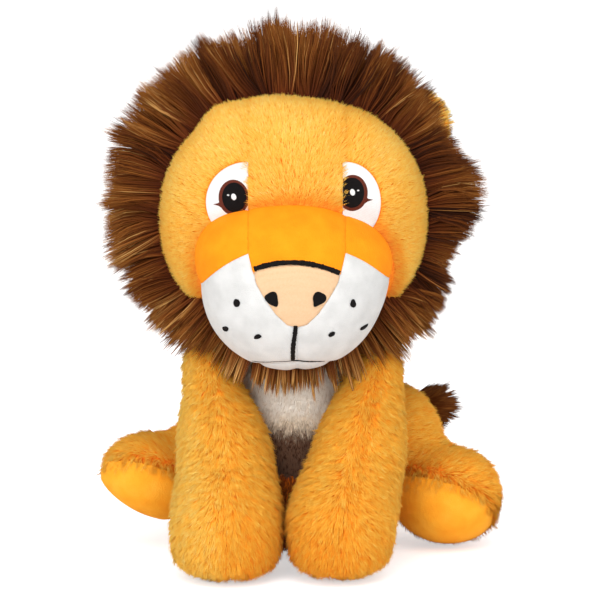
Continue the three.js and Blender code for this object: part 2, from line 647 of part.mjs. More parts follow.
// Each eye is stitched in layers: the white, the iris, the pupil and the glint
function buildEyes() {
  const z = HEAD.z + EYE_RISE;
  const whiteZ = z - WHITE_DROP;
  for (const side in SIDES) {
    const way = SIDES[side];
    const seam = way * GUSSET_HALF_WIDTH;
    const x = seam + way * IRIS_INSET[side];
    const layers = [
      ["eye_white", ellipse(seam, whiteZ, WHITE_HALF_WIDTH[side], WHITE_HALF_HEIGHT), "whiteThread"],
      ["iris", ellipse(x, z, IRIS_HALF_WIDTH, IRIS_HALF_HEIGHT), "brownThread"],
      ["pupil", ellipse(x, z, IRIS_HALF_WIDTH - IRIS_RIM, IRIS_HALF_HEIGHT - IRIS_RIM), "blackThread"],
      ["glint", ellipse(x, z + GLINT_R, GLINT_R, GLINT_R), "whiteThread"],
    ];
    layers.forEach(([name, outline, fabric], level) => {
      const lift = FIT + level * (THREAD + FIT);
      const patch = patchOn(headForm, outline, lift, level ? 2 * DOT_STEPS : OUTLINE_STEPS);
      const kept = beyond(patch, way, GUSSET_HALF_WIDTH + FIT).subtract(muzzleForm(FIT));
      place(`${name}_${side}`, kept, fabric);
    });
  }
}

function buildBeard() {
  const y = MUZZLE.y - BEARD_HALF_DEPTH / 2;
  const centre = new THREE.Vector3(MUZZLE.x, y, MUZZLE_BOTTOM - BEARD_HANG + BEARD_HALF_HEIGHT);
  const half = new THREE.Vector3(BEARD_HALF_WIDTH, BEARD_HALF_DEPTH, BEARD_HALF_HEIGHT);
  const whole = roundForm(centre, half, 0, SMALL_FACETS);
  place("beard", without(whole, muzzleForm(FIT), headForm(FIT)), "brownFur");
}

function buildEars() {
  for (const side in SIDES) {
    const ear = earForm(side).subtract(headForm(FIT));
    const seam = earPlace(side).y;
    place(`ear_front_${side}`, below(ear, "y", seam - FIT / 2), "orangePlush");
    place(`ear_back_${side}`, above(ear, "y", seam + FIT / 2), "orangePlush");
  }
}

// Each foreleg's two panels meet in a seam down the front of the leg
function buildForelegs() {
  for (const side in SIDES) {
    const skin = forelegForm(side).subtract(forelegForm(side, -LEG_PLUSH, LIMB_CORE_FACETS));
    const [shoulder, , paw] = forelegStations(side);
    const outward = paw.at.clone().sub(shoulder.at);
    outward.cross(new THREE.Vector3(0, SIDES[side], 0)).normalize();
    const seam = outward.dot(shoulder.at);
    const inward = outward.clone().negate();
    place(`foreleg_outer_${side}`, skin.trimByPlane(outward.toArray(), seam + FIT / 2), "orangePlush");
    place(`foreleg_inner_${side}`, skin.trimByPlane(inward.toArray(), FIT / 2 - seam), "orangePlush");
    place(`foreleg_stuffing_${side}`, forelegForm(side, -LEG_PLUSH - FIT, LIMB_CORE_FACETS), "fibreFill");
  }
}

function buildHindlegs() {
  for (const side in SIDES) {
    const paw = hindlegStations(side).at(-1).at;
    const skin = hindlegForm(side).subtract(hindlegForm(side, -LEG_PLUSH, LIMB_CORE_FACETS));
    const seam = paw.y - SOLE_FORWARD;
    place(`sole_${side}`, below(skin, "y", seam - FIT / 2), "orangeVelboa");
    const rest = above(skin, "y", seam + FIT / 2);
    place(`hindleg_upper_${side}`, above(rest, "z", paw.z + FIT / 2), "orangePlush");
    place(`hindleg_under_${side}`, below(rest, "z", paw.z - FIT / 2), "orangePlush");
    place(`hindleg_stuffing_${side}`, hindlegForm(side, -LEG_PLUSH - FIT, LIMB_CORE_FACETS), "fibreFill");
  }
}

function buildTail() {
  const tail = limbForm(tailStations, 0, LIMB_CORE_FACETS);
  place("tail", tail.subtract(tuftForm(FIT)), "orangePlush");
  place("tail_tuft", tuftForm(), "brownFur");
}

buildTorso();
buildHead();
buildMuzzle();
buildFaceStitching();
buildEyes();
buildBeard();
buildEars();
buildForelegs();
buildHindlegs();
buildTail();

export default lion;
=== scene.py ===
import math
from dataclasses import dataclass

import bmesh
import bpy
import numpy as np
from mathutils import Matrix, Vector, kdtree
from mathutils.bvhtree import BVHTree


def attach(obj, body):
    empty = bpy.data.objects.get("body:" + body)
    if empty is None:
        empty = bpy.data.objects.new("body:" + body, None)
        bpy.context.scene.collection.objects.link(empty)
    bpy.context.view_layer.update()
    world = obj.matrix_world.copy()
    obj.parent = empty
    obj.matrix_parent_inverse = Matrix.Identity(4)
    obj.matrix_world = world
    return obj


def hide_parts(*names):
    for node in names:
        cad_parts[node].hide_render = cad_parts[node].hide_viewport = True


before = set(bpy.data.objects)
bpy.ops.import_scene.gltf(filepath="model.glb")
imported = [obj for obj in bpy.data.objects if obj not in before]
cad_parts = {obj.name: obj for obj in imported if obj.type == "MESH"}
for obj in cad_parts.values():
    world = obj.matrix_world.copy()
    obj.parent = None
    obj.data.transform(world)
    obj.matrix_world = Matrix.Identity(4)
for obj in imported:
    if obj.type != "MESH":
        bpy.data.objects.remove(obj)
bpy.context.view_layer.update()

# A sitting plush lion. Sizes and places are in millimetres until a mesh is made, which is in metres.
# Z is up, the lion faces -Y, and left and right are the lion's own.

MM = 0.001
SIDES = {"left": 1, "right": -1}
TURN = 2 * math.pi

# Head, muzzle and neck: middles, half sizes and the lines that the panels meet on
NECK, NECK_R = np.array([0, 2, 84.0]), 26
HEAD, HEAD_HALF = np.array([0, 0, 157.0]), np.array([65, 52, 59.0])
MUZZLE, MUZZLE_HALF = np.array([0, -38, 131.0]), np.array([45.5, 37, 38.5])
FULLNESS = 2.2
HAIRLINE_Y = -15
UNDER_HEAD_Z = 107
GUSSET = 21.7
GUSSET_FOOT_Z = 150
LIP_MIDDLE_Z, LIP_HALF = 117, (47, 38)

# Nose and mouth from the front. The nose's side runs from its tip to its upper corner, in shares of its size.
NOSE_TIP_Z, NOSE_HALF, NOSE_TOP, NOSE_TILT = 119, 19, (36, 27.5), 0.05
NOSE_SIDE = [(0, 0), (0.22, 0.03), (0.5, 0.22), (0.8, 0.52), (0.95, 0.7)]
MOUTH_Z, MOUTH_CURVE, MOUTH_REACH = 99.5, 0.012, 22

# Eyes, which aren't alike: the stitched whites sit against the gusset's seams
WHITE_Z, EYE_HALF = 169.0, {"left": (15.8, 18.0), "right": (19.0, 18.2)}
EYE_INNER = {"left": 20.4, "right": 21.7}
IRIS_X, IRIS_Z = {"left": 24.8, "right": 28.2}, {"left": 173.8, "right": 171.7}
IRIS_HALF, IRIS_RIM = (6.9, 8.1), 1.4
THREAD = 0.9

# Whisker dots: across, height, half size and tilt
WHISKERS = {
    "left": [
        (25.0, 128.4, (1.3, 2.0), 0.1),
        (30.0, 115.4, (2.2, 0.9), 0.5),
        (15.5, 114.6, (1.7, 1.1), 0.6),
    ],
    "right": [
        (26.8, 128.8, (1.5, 1.9), 0.2),
        (31.9, 115.2, (1.3, 1.5), 0.7),
        (17.5, 113.6, (1.8, 1.1), -0.5),
    ],
}

# Torso: its outline as shares of its half width and height, and the bib's edge as (half width, height)
TORSO_HALF, TORSO_HEIGHT = (40, 43), 84
PEAR = [
    (0, 0), (0.72, 0), (0.9, 0.08), (0.99, 0.21), (1, 0.36),
    (0.94, 0.53), (0.83, 0.7), (0.69, 0.85), (0.5, 0.97), (0, 1.02),
]
BIB = [(0, 40), (12.5, 42.6), (18, 55), (26.5, 84), (27, 140)]
SEAT_TOP = 7
BEANS_TOP = 26
HIP_X = 36

# Limbs: three stations each, as (place, radius) from the root to the paw
FORELEGS = {
    "left": [((36, -14, 86.5), 15), ((27.5, -38, 50), 23), ((19.6, -57, 25.2), 26.4)],
    "right": [((-41, -14, 89), 13.6), ((-32.5, -38, 50), 23.4), ((-31.8, -57, 25.2), 27)],
}
PAW_SPREAD = {"left": 4.5, "right": 5.5}
PAWS_MEET_X = -6
HINDLEGS = {
    "left": [((41.5, 24, 50), 25), ((54, 13.5, 26.85), 17.5), ((68, 3, 23.7), 24.5)],
    "right": [((-30, 24, 48), 24.5), ((-48.5, 16.5, 30.35), 17.5), ((-67, 9, 30.7), 22.5)],
}
HINDPAW_LIFT = {"left": 0, "right": 9}
SOLE = {"left": (63.5, 19.5, (24.5, 14.5), -0.2), "right": (-68.5, 26.5, (23, 13), -0.3)}
TAIL = [((8, 54, 24), 6), ((27, 65, 31.25), 6), ((46, 65, 47), 6)]
TUFT = np.array((61, 59.5, 53))
EARS = {"left": (51.9, 17, 192.5), "right": (-51.9, 17, 192.5)}
EAR_HALF = (20, 5, 20)

# How far the mane's tips reach from the middle of the head, by degrees round the face from the lion's left
MANE_REACH = [
    (-70, 70), (-60, 69), (-51, 71), (-45, 75), (-38, 80), (-31, 81), (-23, 79), (-19, 72), (-13, 75),
    (-9, 76), (-6, 79), (0, 84), (7, 87), (12, 88), (20, 82), (24, 78), (30, 79), (36, 81), (44, 83),
    (50, 85), (57, 87), (65, 89), (74, 88.5), (88, 89.5), (97, 93), (103, 92.5), (108, 91), (112, 87.5),
    (115, 92), (118, 89.5), (121, 92), (130, 92.5), (140, 92.5), (148, 92.5), (151, 94), (158, 93),
    (166, 91), (173, 89), (180, 89), (184, 87.5), (188, 90), (192, 88), (195, 89.5), (200, 84),
    (207, 86.5), (214, 81.5), (217, 84), (223, 79), (230, 74), (250, 68),
]

# Fabric: how thick it is and how far the stuffing stays under its outside
FABRIC, VELBOA, EAR_FABRIC = 1.4, 3.4, 1.2
STUFFING_INSET = 1.8


# Small sums

def rising(value, start, end):
    """0 up to start, 1 from end on and a straight rise between. It falls where end lies below start."""
    return np.clip((value - start) / (end - start), 0, 1)


def hump(value, middle, width):
    """1 at the middle, dying away to both sides."""
    return np.exp(-(((value - middle) / width) ** 2))


def unit(vectors):
    return vectors / np.maximum(np.linalg.norm(vectors, axis=1), 1e-9)[:, None]


def most(*fields):
    """The highest of several fields, which is below 0 where all of them are."""
    return lambda p: np.max([field(p) for field in fields], axis=0)


def opposite(field):
    return lambda p: -field(p)


def past_middle(way):
    """How far points lie across the middle from the side that way gives."""
    return lambda p: -way * p[:, 0]


# Materials

def colour(red, green, blue):
    shares = (red / 255, green / 255, blue / 255)
    return [c / 12.92 if c <= 0.04045 else ((c + 0.055) / 1.055) ** 2.4 for c in shares] + [1]


class Nodes:
    """A node tree and the short ways in which nodes are added to it."""

    def __init__(self, tree):
        self.tree = tree

    def feed(self, socket, value):
        if isinstance(value, bpy.types.NodeSocket):
            self.tree.links.new(value, socket)
        else:
            socket.default_value = value

    def add(self, kind, settings=None, **inputs):
        """Adds a node. An input is named by its socket, or as i0, i1 and so on by its place."""
        node = self.tree.nodes.new("ShaderNode" + kind)
        for key, value in (settings or {}).items():
            setattr(node, key, value)
        for key, value in inputs.items():
            by_place = key[0] == "i" and key[1:].isdigit()
            self.feed(node.inputs[int(key[1:]) if by_place else key.replace("_", " ")], value)
        return node

    def math(self, kind, first, second=0.0):
        return self.add("Math", {"operation": kind}, i0=first, i1=second).outputs[0]

    def eased(self, value, start, end):
        """0 up to start, 1 from end on."""
        ends = {"From_Min": start, "From_Max": end, "To_Min": 0.0, "To_Max": 1.0}
        return self.add("MapRange", Value=value, **ends).outputs[0]

    def mix(self, share, first, second):
        node = self.add("Mix", {"data_type": "RGBA", "blend_type": "MIX"})
        for socket, value in zip((node.inputs[0], node.inputs[6], node.inputs[7]), (share, first, second)):
            self.feed(socket, value)
        return node.outputs[2]

    def ramp(self, value, *stops):
        node = self.add("ValToRGB", i0=value)
        while len(node.color_ramp.elements) < len(stops):
            node.color_ramp.elements.new(1)
        for element, (place, shade) in zip(node.color_ramp.elements, stops):
            element.position, element.color = place, colour(*shade)
        return node.outputs["Color"]

    def noise(self, size, detail=2.0):
        """Noise whose lumps are about size millimetres across."""
        where = self.add("TexCoord").outputs["Object"]
        return self.add("TexNoise", Vector=where, Scale=1 / (size * MM), Detail=detail).outputs["Fac"]

    def bands(self, pitch, turn, wobble=0.0):
        """Threads pitch millimetres apart, running across the direction that turn gives."""
        where = self.add("TexCoord").outputs["Object"]
        turned = self.add("Mapping", Vector=where, Rotation=turn).outputs[0]
        inputs = {"Scale": TURN / (20 * pitch * MM), "Distortion": wobble, "Detail": 1.0, "Detail_Scale": 0.3}
        return self.add("TexWave", Vector=turned, **inputs).outputs["Fac"]

    def seen_directly(self):
        """1 for rays from the camera and those that a shiny or clear surface sends on."""
        rays = self.add("LightPath").outputs
        sent_on = self.math("MAXIMUM", rays["Is Glossy Ray"], rays["Is Transmission Ray"])
        return self.math("MAXIMUM", rays["Is Camera Ray"], sent_on)


class Finish(Nodes):
    """A material with a plain shader."""

    def __init__(self, name, roughness, sheen=0.0, sheen_tint=(255, 255, 255), specular=0.5):
        self.material = bpy.data.materials.new(name)
        self.material.use_nodes = True
        super().__init__(self.material.node_tree)
        self.shader = self.tree.nodes["Principled BSDF"]
        settings = {
            "Roughness": roughness,
            "Specular IOR Level": specular,
            "Sheen Weight": sheen,
            "Sheen Tint": colour(*sheen_tint),
            "Sheen Roughness": 0.5,
        }
        for socket, value in settings.items():
            self.shader.inputs[socket].default_value = value

    def paint(self, shade):
        self.feed(self.shader.inputs["Base Color"], shade)

    def bump(self, height, distance):
        node = self.add("Bump", Height=height, Distance=distance * MM, Strength=1.0)
        self.feed(self.shader.inputs["Normal"], node.outputs[0])


def pile_finish(name, roots, tips, roughness, sheen, specular=0.3, root_reach=0.55):
    """Standing fibres: their tone lies across the map and the way from root to tip along it."""
    made = Finish(name, roughness, sheen, tips[-1][1], specular)
    place = made.add("SeparateXYZ", i0=made.add("UVMap", {"uv_map": "OFBake"}).outputs[0])
    tone, along_fibre = place.outputs[0], place.outputs[1]
    # Each fibre is painted darker towards its root, as painted shade deep in the pile
    share = made.eased(along_fibre, 0.05, root_reach)
    made.paint(made.mix(share, made.ramp(tone, *roots), made.ramp(tone, *tips)))
    return made.material


def backing_finish(name, dark, light):
    """The woven backing under a pile, seen only where the pile parts."""
    made = Finish(name, 0.95, 0.2, light, 0.2)
    made.paint(made.ramp(made.noise(1.6, 4), (0.35, dark), (0.65, light)))
    made.bump(made.noise(0.6, 3), 0.4)
    return made.material


def bib_backing_finish(name, low, high):
    """The bib's backing, painted darker as shade where it runs down between the legs."""
    made = Finish(name, 0.95, 0.1, high, 0.2)
    height = made.add("SeparateXYZ", i0=made.add("TexCoord").outputs["Object"]).outputs[2]
    made.paint(made.mix(made.eased(height, 56 * MM, 66 * MM), colour(*low), colour(*high)))
    made.bump(made.noise(0.6, 3), 0.4)
    return made.material


def velboa_finish(name, shade, deep, light):
    """Short smooth fabric with a fine nap that lies in faint patches."""
    made = Finish(name, 0.9, 0.35, light, 0.2)
    nap = made.noise(0.5, 3)
    ground = made.ramp(made.noise(9, 2), (0.32, deep), (0.52, shade), (0.72, light))
    made.paint(made.mix(made.math("MULTIPLY", nap, 0.35), ground, colour(*deep)))
    made.bump(made.math("ADD", made.noise(0.45, 3), made.math("MULTIPLY", made.noise(2.2, 2), 0.6)), 0.28)
    return made.material


def satin_finish(name, dark, light, pitch=0.42, turn=(0, 0, 0), roughness=0.55, specular=0.4):
    """Close parallel embroidery threads."""
    made = Finish(name, roughness, 0.05, light, specular)
    threads = made.bands(pitch, turn, 0.6)
    uneven = made.math("MULTIPLY", made.noise(0.9, 2), 0.4)
    level = made.math("ADD", made.math("MULTIPLY", threads, 0.6), uneven)
    made.paint(made.ramp(level, (0.15, dark), (0.6, light)))
    made.bump(threads, 0.25)
    return made.material


def filling_finish(name, shade, deep):
    made = Finish(name, 1.0, 0.3, shade, 0.1)
    made.paint(made.ramp(made.noise(2.5, 5), (0.3, deep), (0.7, shade)))
    made.bump(made.noise(1.2, 5), 1.2)
    return made.material


def woven_finish(name, shade, deep):
    made = Finish(name, 0.9, 0.0, shade, 0.2)
    weave = made.math("MULTIPLY", made.bands(0.5, (0, 0, 0)), made.bands(0.5, (0, math.pi / 2, 0)))
    made.paint(made.ramp(weave, (0.1, deep), (0.8, shade)))
    made.bump(weave, 0.2)
    return made.material


BLACKS = (6, 4, 4), (24, 20, 20)
FABRICS = {
    # The lowest tone of the orange pile is for fur in the deep shade between the forelegs
    "orange_pile": pile_finish(
        "orange_pile",
        [(0.0, (66, 32, 16)), (0.1, (250, 104, 14)), (0.4, (255, 146, 26)), (1.0, (255, 178, 52))],
        [
            (0.0, (84, 42, 20)), (0.1, (254, 126, 20)), (0.35, (255, 165, 42)),
            (0.65, (255, 196, 78)), (1.0, (255, 224, 130)),
        ],
        0.85, 0.1, 0.15,
    ),
    "face_pile": pile_finish(
        "face_pile",
        [(0.0, (246, 104, 18)), (0.4, (255, 152, 34)), (1.0, (255, 182, 60))],
        [(0.0, (252, 120, 22)), (0.35, (255, 170, 48)), (0.65, (255, 200, 82)), (1.0, (255, 226, 134))],
        0.85, 0.2,
    ),
    "brown_pile": pile_finish(
        "brown_pile",
        [(0.0, (30, 8, 1)), (0.5, (84, 32, 6)), (1.0, (126, 60, 16))],
        [(0.0, (48, 18, 3)), (0.35, (106, 54, 14)), (0.65, (150, 92, 36)), (1.0, (226, 176, 104))],
        0.75, 0.0, 0.12, 0.8,
    ),
    # The lowest tone of the cream pile is painted shade, for the bib's foot between the forelegs
    "cream_pile": pile_finish(
        "cream_pile",
        [(0.0, (66, 38, 22)), (0.45, (218, 196, 168)), (1.0, (248, 236, 222))],
        [(0.0, (92, 56, 34)), (0.45, (232, 212, 186)), (1.0, (252, 243, 230))],
        0.9, 0.2,
    ),
    "orange_backing": backing_finish("orange_backing", (240, 112, 20), (255, 146, 36)),
    "brown_backing": backing_finish("brown_backing", (30, 13, 3), (62, 32, 8)),
    "cream_backing": bib_backing_finish("cream_backing", (66, 38, 22), (226, 210, 190)),
    "orange_velboa": velboa_finish("orange_velboa", (250, 143, 10), (246, 136, 8), (252, 150, 16)),
    "sole_velboa": velboa_finish("sole_velboa", (255, 170, 42), (252, 160, 34), (255, 178, 54)),
    "white_velboa": velboa_finish("white_velboa", (208, 207, 205), (198, 197, 195), (216, 215, 213)),
    "peach_satin": satin_finish("peach_satin", (228, 178, 128), (250, 208, 166), 0.5, (0, TURN / 4, 0), 0.6),
    "black_satin": satin_finish("black_satin", *BLACKS, 0.45, roughness=0.75, specular=0.1),
    "black_arc_satin": satin_finish("black_arc_satin", *BLACKS, 0.7, roughness=0.75, specular=0.1),
    "white_satin": satin_finish("white_satin", (226, 223, 220), (250, 249, 248), 0.5, (0, 0.5, 0), 0.5),
    "brown_satin": satin_finish("brown_satin", (56, 16, 6), (116, 44, 20), 0.42, (0, 1.2, 0), 0.6, 0.25),
    "orange_thread": satin_finish("orange_thread", (190, 96, 26), (240, 150, 50), 0.5),
    "fibre_fill": filling_finish("fibre_fill", (246, 246, 242), (214, 214, 208)),
    "bean_cloth": woven_finish("bean_cloth", (216, 212, 204), (178, 172, 162)),
}


# Forms

class Form:
    """A closed surface as arrays: its points in millimetres, its triangles and its outward normals."""

    def __init__(self, points, triangles):
        self.points = np.array(points, float)
        self.triangles = np.array(triangles, int)
        self.refresh()

    def refresh(self):
        a, b, c = (self.points[self.triangles[:, i]] for i in range(3))
        cross = np.cross(b - a, c - a)
        self.areas = np.linalg.norm(cross, axis=1) / 2
        self.normals = np.zeros_like(self.points)
        for i in range(3):
            np.add.at(self.normals, self.triangles[:, i], cross)
        self.normals /= np.maximum(np.linalg.norm(self.normals, axis=1), 1e-12)[:, None]

    def tree(self):
        return BVHTree.FromPolygons(self.points.tolist(), self.triangles.tolist())


def form_of(mesh):
    mesh.calc_loop_triangles()
    points = np.empty(len(mesh.vertices) * 3)
    mesh.vertices.foreach_get("co", points)
    corners = np.empty(len(mesh.loop_triangles) * 3, np.int32)
    mesh.loop_triangles.foreach_get("vertices", corners)
    return Form(points.reshape(-1, 3), corners.reshape(-1, 3))


def everything(bm):
    return bm.verts[:] + bm.edges[:] + bm.faces[:]


def mesh_of(name, bm):
    mesh = bpy.data.meshes.new(name)
    bm.to_mesh(mesh)
    bm.free()
    return mesh


def bm_of(mesh):
    bm = bmesh.new()
    bm.from_mesh(mesh)
    bpy.data.meshes.remove(mesh)
    return bm


def into_metres(bm):
    bmesh.ops.scale(bm, verts=bm.verts[:], vec=(MM, MM, MM))


def finished(bm, *modifiers):
    """The mesh that bm gives once each (kind, settings) has worked on it."""
    mesh = mesh_of("working", bm)
    ob = bpy.data.objects.new("working", mesh)
    bpy.context.scene.collection.objects.link(ob)
    for kind, settings in modifiers:
        modifier = ob.modifiers.new(kind, kind)
        for key, value in settings.items():
            setattr(modifier, key, value)
    made = bpy.data.meshes.new_from_object(ob.evaluated_get(bpy.context.evaluated_depsgraph_get()))
    bpy.data.objects.remove(ob)
    bpy.data.meshes.remove(mesh)
    return made


def round_form(centre, half, fineness=5):
    """A ball that is a little fuller than an ellipsoid."""
    bm = bmesh.new()
    bmesh.ops.create_icosphere(bm, subdivisions=fineness, radius=1)
    points = np.array([v.co[:] for v in bm.verts])
    reach = (np.abs(points) ** FULLNESS).sum(1) ** (1 / FULLNESS)
    for v, place in zip(bm.verts, points / reach[:, None] * half + centre):
        v.co = place
    return bm


def along(stations, share):
    """The place and radius at a share of the way along a limb. Shares 0, 0.5 and 1 are its three stations."""
    places = [np.array(at, float) for at, _ in stations]
    ways = [places[1] - places[0], (places[2] - places[0]) / 2, places[2] - places[1]]
    i = min(int(share * 2), 1)
    t = share * 2 - i
    a, b, c, d = 2 * t**3 - 3 * t**2 + 1, t**3 - 2 * t**2 + t, 3 * t**2 - 2 * t**3, t**3 - t**2
    place = a * places[i] + b * ways[i] + c * places[i + 1] + d * ways[i + 1]
    swell = t * t * (3 - 2 * t)
    return place, (1 - swell) * stations[i][1] + swell * stations[i + 1][1]


def fused(bm, voxel=3.0, smoothing=3):
    """The parts of bm joined into one even skin."""
    return bm_of(finished(
        bm,
        ("REMESH", {"mode": "VOXEL", "voxel_size": voxel, "use_smooth_shade": True}),
        ("SMOOTH", {"factor": 0.5, "iterations": smoothing}),
    ))


def limb_form(stations, voxel=3.0, steps=22):
    """Overlapping balls along the limb, fused into one skin."""
    bm = bmesh.new()
    for k in range(steps + 1):
        place, radius = along(stations, k / steps)
        bmesh.ops.create_icosphere(bm, subdivisions=3, radius=radius, matrix=Matrix.Translation(place))
    return fused(bm, voxel)


def pear_form():
    """The torso, spun from its outline, leaned forward and joined to the neck dome."""
    bm = bmesh.new()
    corners = [bm.verts.new((wide * TORSO_HALF[0], 0, high * TORSO_HEIGHT)) for wide, high in PEAR]
    edges = [bm.edges.new(pair) for pair in zip(corners, corners[1:])]
    axis = {"axis": (0, 0, 1), "cent": (0, 0, 0)}
    bmesh.ops.spin(bm, geom=corners + edges, **axis, steps=48, angle=TURN, use_merge=True)
    bmesh.ops.remove_doubles(bm, verts=bm.verts[:], dist=0.01)
    for v in bm.verts:
        v.co.y = v.co.y * TORSO_HALF[1] / TORSO_HALF[0] + 14 - 12 * v.co.z / TORSO_HEIGHT
    bmesh.ops.recalc_face_normals(bm, faces=bm.faces[:])
    bmesh.ops.create_icosphere(bm, subdivisions=4, radius=NECK_R, matrix=Matrix.Translation(NECK))
    return fused(bm)


def press(bm, axis, place, side=1):
    """Flattens what reaches past place along an axis: below it for side 1, above it for side -1."""
    for v in bm.verts:
        if (v.co[axis] - place) * side < 0:
            v.co[axis] = place


# The filling of a sewn bag is simulated at ten times its size
BAG_SCALE = 0.01
FILLING_FRAMES = 16
HELD_AT_SEAM = 2.5
CLOTH = {
    "quality": 4,
    "mass": 0.3,
    "tension_stiffness": 12,
    "compression_stiffness": 12,
    "shear_stiffness": 12,
    "bending_stiffness": 0.4,
    "use_pressure": True,
    "uniform_pressure_force": 60.0,
    "vertex_group_mass": "seams",
}


def pressure_moves(bm, start, held):
    """How far cloth under pressure moves from start when its held points stay."""
    scene = bpy.context.scene
    mesh = bpy.data.meshes.new("bag")
    bm.to_mesh(mesh)
    mesh.transform(Matrix.Scale(BAG_SCALE, 4))
    bag = bpy.data.objects.new("bag", mesh)
    scene.collection.objects.link(bag)
    group = bag.vertex_groups.new(name="seams")
    group.add([int(i) for i in np.flatnonzero(held)], 1.0, "ADD")
    cloth = bag.modifiers.new("filling", "CLOTH")
    for key, value in CLOTH.items():
        setattr(cloth.settings, key, value)
    cloth.settings.effector_weights.gravity = 0
    cloth.collision_settings.use_collision = False
    cloth.collision_settings.use_self_collision = False
    for number in range(1, FILLING_FRAMES + 1):
        scene.frame_set(number)
    filled = bag.evaluated_get(bpy.context.evaluated_depsgraph_get()).to_mesh()
    places = np.empty(len(start) * 3)
    filled.vertices.foreach_get("co", places)
    bpy.data.objects.remove(bag)
    bpy.data.meshes.remove(mesh)
    scene.frame_set(1)
    return places.reshape(-1, 3) / BAG_SCALE - start


def blown_up(bm, seams, most_swell, shrink, levels=1):
    """Shrinks bm by shrink, fills it like a sewn bag held at its seams and gives the subdivided Form."""
    bmesh.ops.recalc_face_normals(bm, faces=bm.faces[:])
    bm.normal_update()
    for v in bm.verts:
        v.co -= v.normal * shrink
    start = np.array([v.co[:] for v in bm.verts])
    moves = pressure_moves(bm, start, seams(start) < HELD_AT_SEAM)
    far = np.linalg.norm(moves, axis=1)
    moves *= (np.minimum(far, most_swell) / np.maximum(far, 1e-9))[:, None]
    for v, place in zip(bm.verts, start + moves):
        v.co = place
    all_ways = {"use_axis_x": True, "use_axis_y": True, "use_axis_z": True}
    bmesh.ops.smooth_vert(bm, verts=bm.verts[:], factor=0.5, **all_ways)
    return form_of(finished(bm, ("SUBSURF", {"levels": levels, "render_levels": levels})))


# How far points lie outside shapes, in millimetres and below 0 inside them

def outside(points, centre, half):
    """Outside a round form, roughly."""
    apart = points - centre
    reach = (np.abs(apart / half) ** FULLNESS).sum(1) ** (1 / FULLNESS)
    return np.linalg.norm(apart, axis=1) * (1 - 1 / np.maximum(reach, 1e-6))


def outside_limb(points, stations):
    marks = [along(stations, k / 16) for k in range(17)]
    return np.min([np.linalg.norm(points - place, axis=1) - radius for place, radius in marks], axis=0)


def outside_ellipse(points, x, z, half, tilt=0.0):
    """Outside an ellipse seen from the front."""
    dx, dz = points[:, 0] - x, points[:, 2] - z
    across = (dx * math.cos(tilt) + dz * math.sin(tilt)) / half[0]
    up = (dz * math.cos(tilt) - dx * math.sin(tilt)) / half[1]
    reach = np.sqrt(across**2 + up**2)
    return np.hypot(dx, dz) * (1 - 1 / np.maximum(reach, 1e-6))


def outside_outline(points, outline):
    """Outside a closed outline in X and Z."""
    at = points[:, [0, 2]]
    first = np.array(outline, float)
    second = np.roll(first, -1, 0)
    nearest = np.full(len(at), np.inf)
    inside = np.zeros(len(at), bool)
    for a, b in zip(first, second):
        way = b - a
        share = np.clip(((at - a) @ way) / (way @ way), 0, 1)
        nearest = np.minimum(nearest, np.linalg.norm(at - a - share[:, None] * way, axis=1))
        if a[1] != b[1]:
            crosses = (a[1] > at[:, 1]) != (b[1] > at[:, 1])
            inside ^= crosses & (at[:, 0] < a[0] + (at[:, 1] - a[1]) * way[0] / way[1])
    return np.where(inside, -nearest, nearest)


def in_muzzle(points):
    return outside(points, MUZZLE, MUZZLE_HALF)


def from_neck(points):
    return np.linalg.norm(points - NECK, axis=1) - NECK_R


# Seams and panels

def groove(form, seams, depth, width):
    """Pulls a form in along its seams, seams giving each point's distance from the nearest."""
    form.points -= form.normals * (depth * hump(seams(form.points), 0, width))[:, None]
    form.refresh()


def moved_onto_seam(form, border, apart):
    """Slides border points over the surface to where apart is 0."""
    probe, longest_move = 0.05, 0.7
    for _ in range(3):
        places = form.points[border]
        here = apart(places)
        slope = np.stack([(apart(places + step) - here) / probe for step in np.eye(3) * probe], 1)
        normals = form.normals[border]
        slope -= (slope * normals).sum(1)[:, None] * normals
        move = -slope * (here / np.maximum((slope**2).sum(1), 1e-2))[:, None]
        far = np.linalg.norm(move, axis=1)
        form.points[border] += move * (np.minimum(far, longest_move) / np.maximum(far, 1e-9))[:, None]


def evened_out(form, moved):
    """Evens out the points beside the moved ones, so that no triangle is folded over."""
    near = moved.copy()
    for _ in range(2):
        near[form.triangles[near[form.triangles].any(1)].ravel()] = True
    pairs = np.concatenate([form.triangles[:, [i, (i + 1) % 3]] for i in range(3)])
    size = len(form.points)
    count = np.bincount(pairs[:, 0], minlength=size)[:, None]
    for _ in range(4):
        total = np.stack([np.bincount(pairs[:, 0], form.points[pairs[:, 1], k], size) for k in range(3)], 1)
        step = total / np.maximum(count, 1) - form.points
        step -= (step * form.normals).sum(1)[:, None] * form.normals
        form.points[near & ~moved] += 0.6 * step[near & ~moved]
    form.refresh()


def slivers(form, moved):
    """The triangles that the move onto the seams left very thin or turned over."""
    a, b, c = (form.points[form.triangles[:, i]] for i in range(3))
    longest = np.max([np.linalg.norm(way, axis=1) for way in (b - a, c - b, a - c)], axis=0)
    flat = np.cross(b - a, c - a)
    turned = (flat * form.normals[form.triangles].sum(1)).sum(1) <= 0.2 * np.linalg.norm(flat, axis=1)
    on_seam = moved[form.triangles].sum(1)
    thin = 2 * form.areas / longest < 0.25 * np.median(longest)
    return ((on_seam == 3) & thin) | ((on_seam >= 2) & turned)


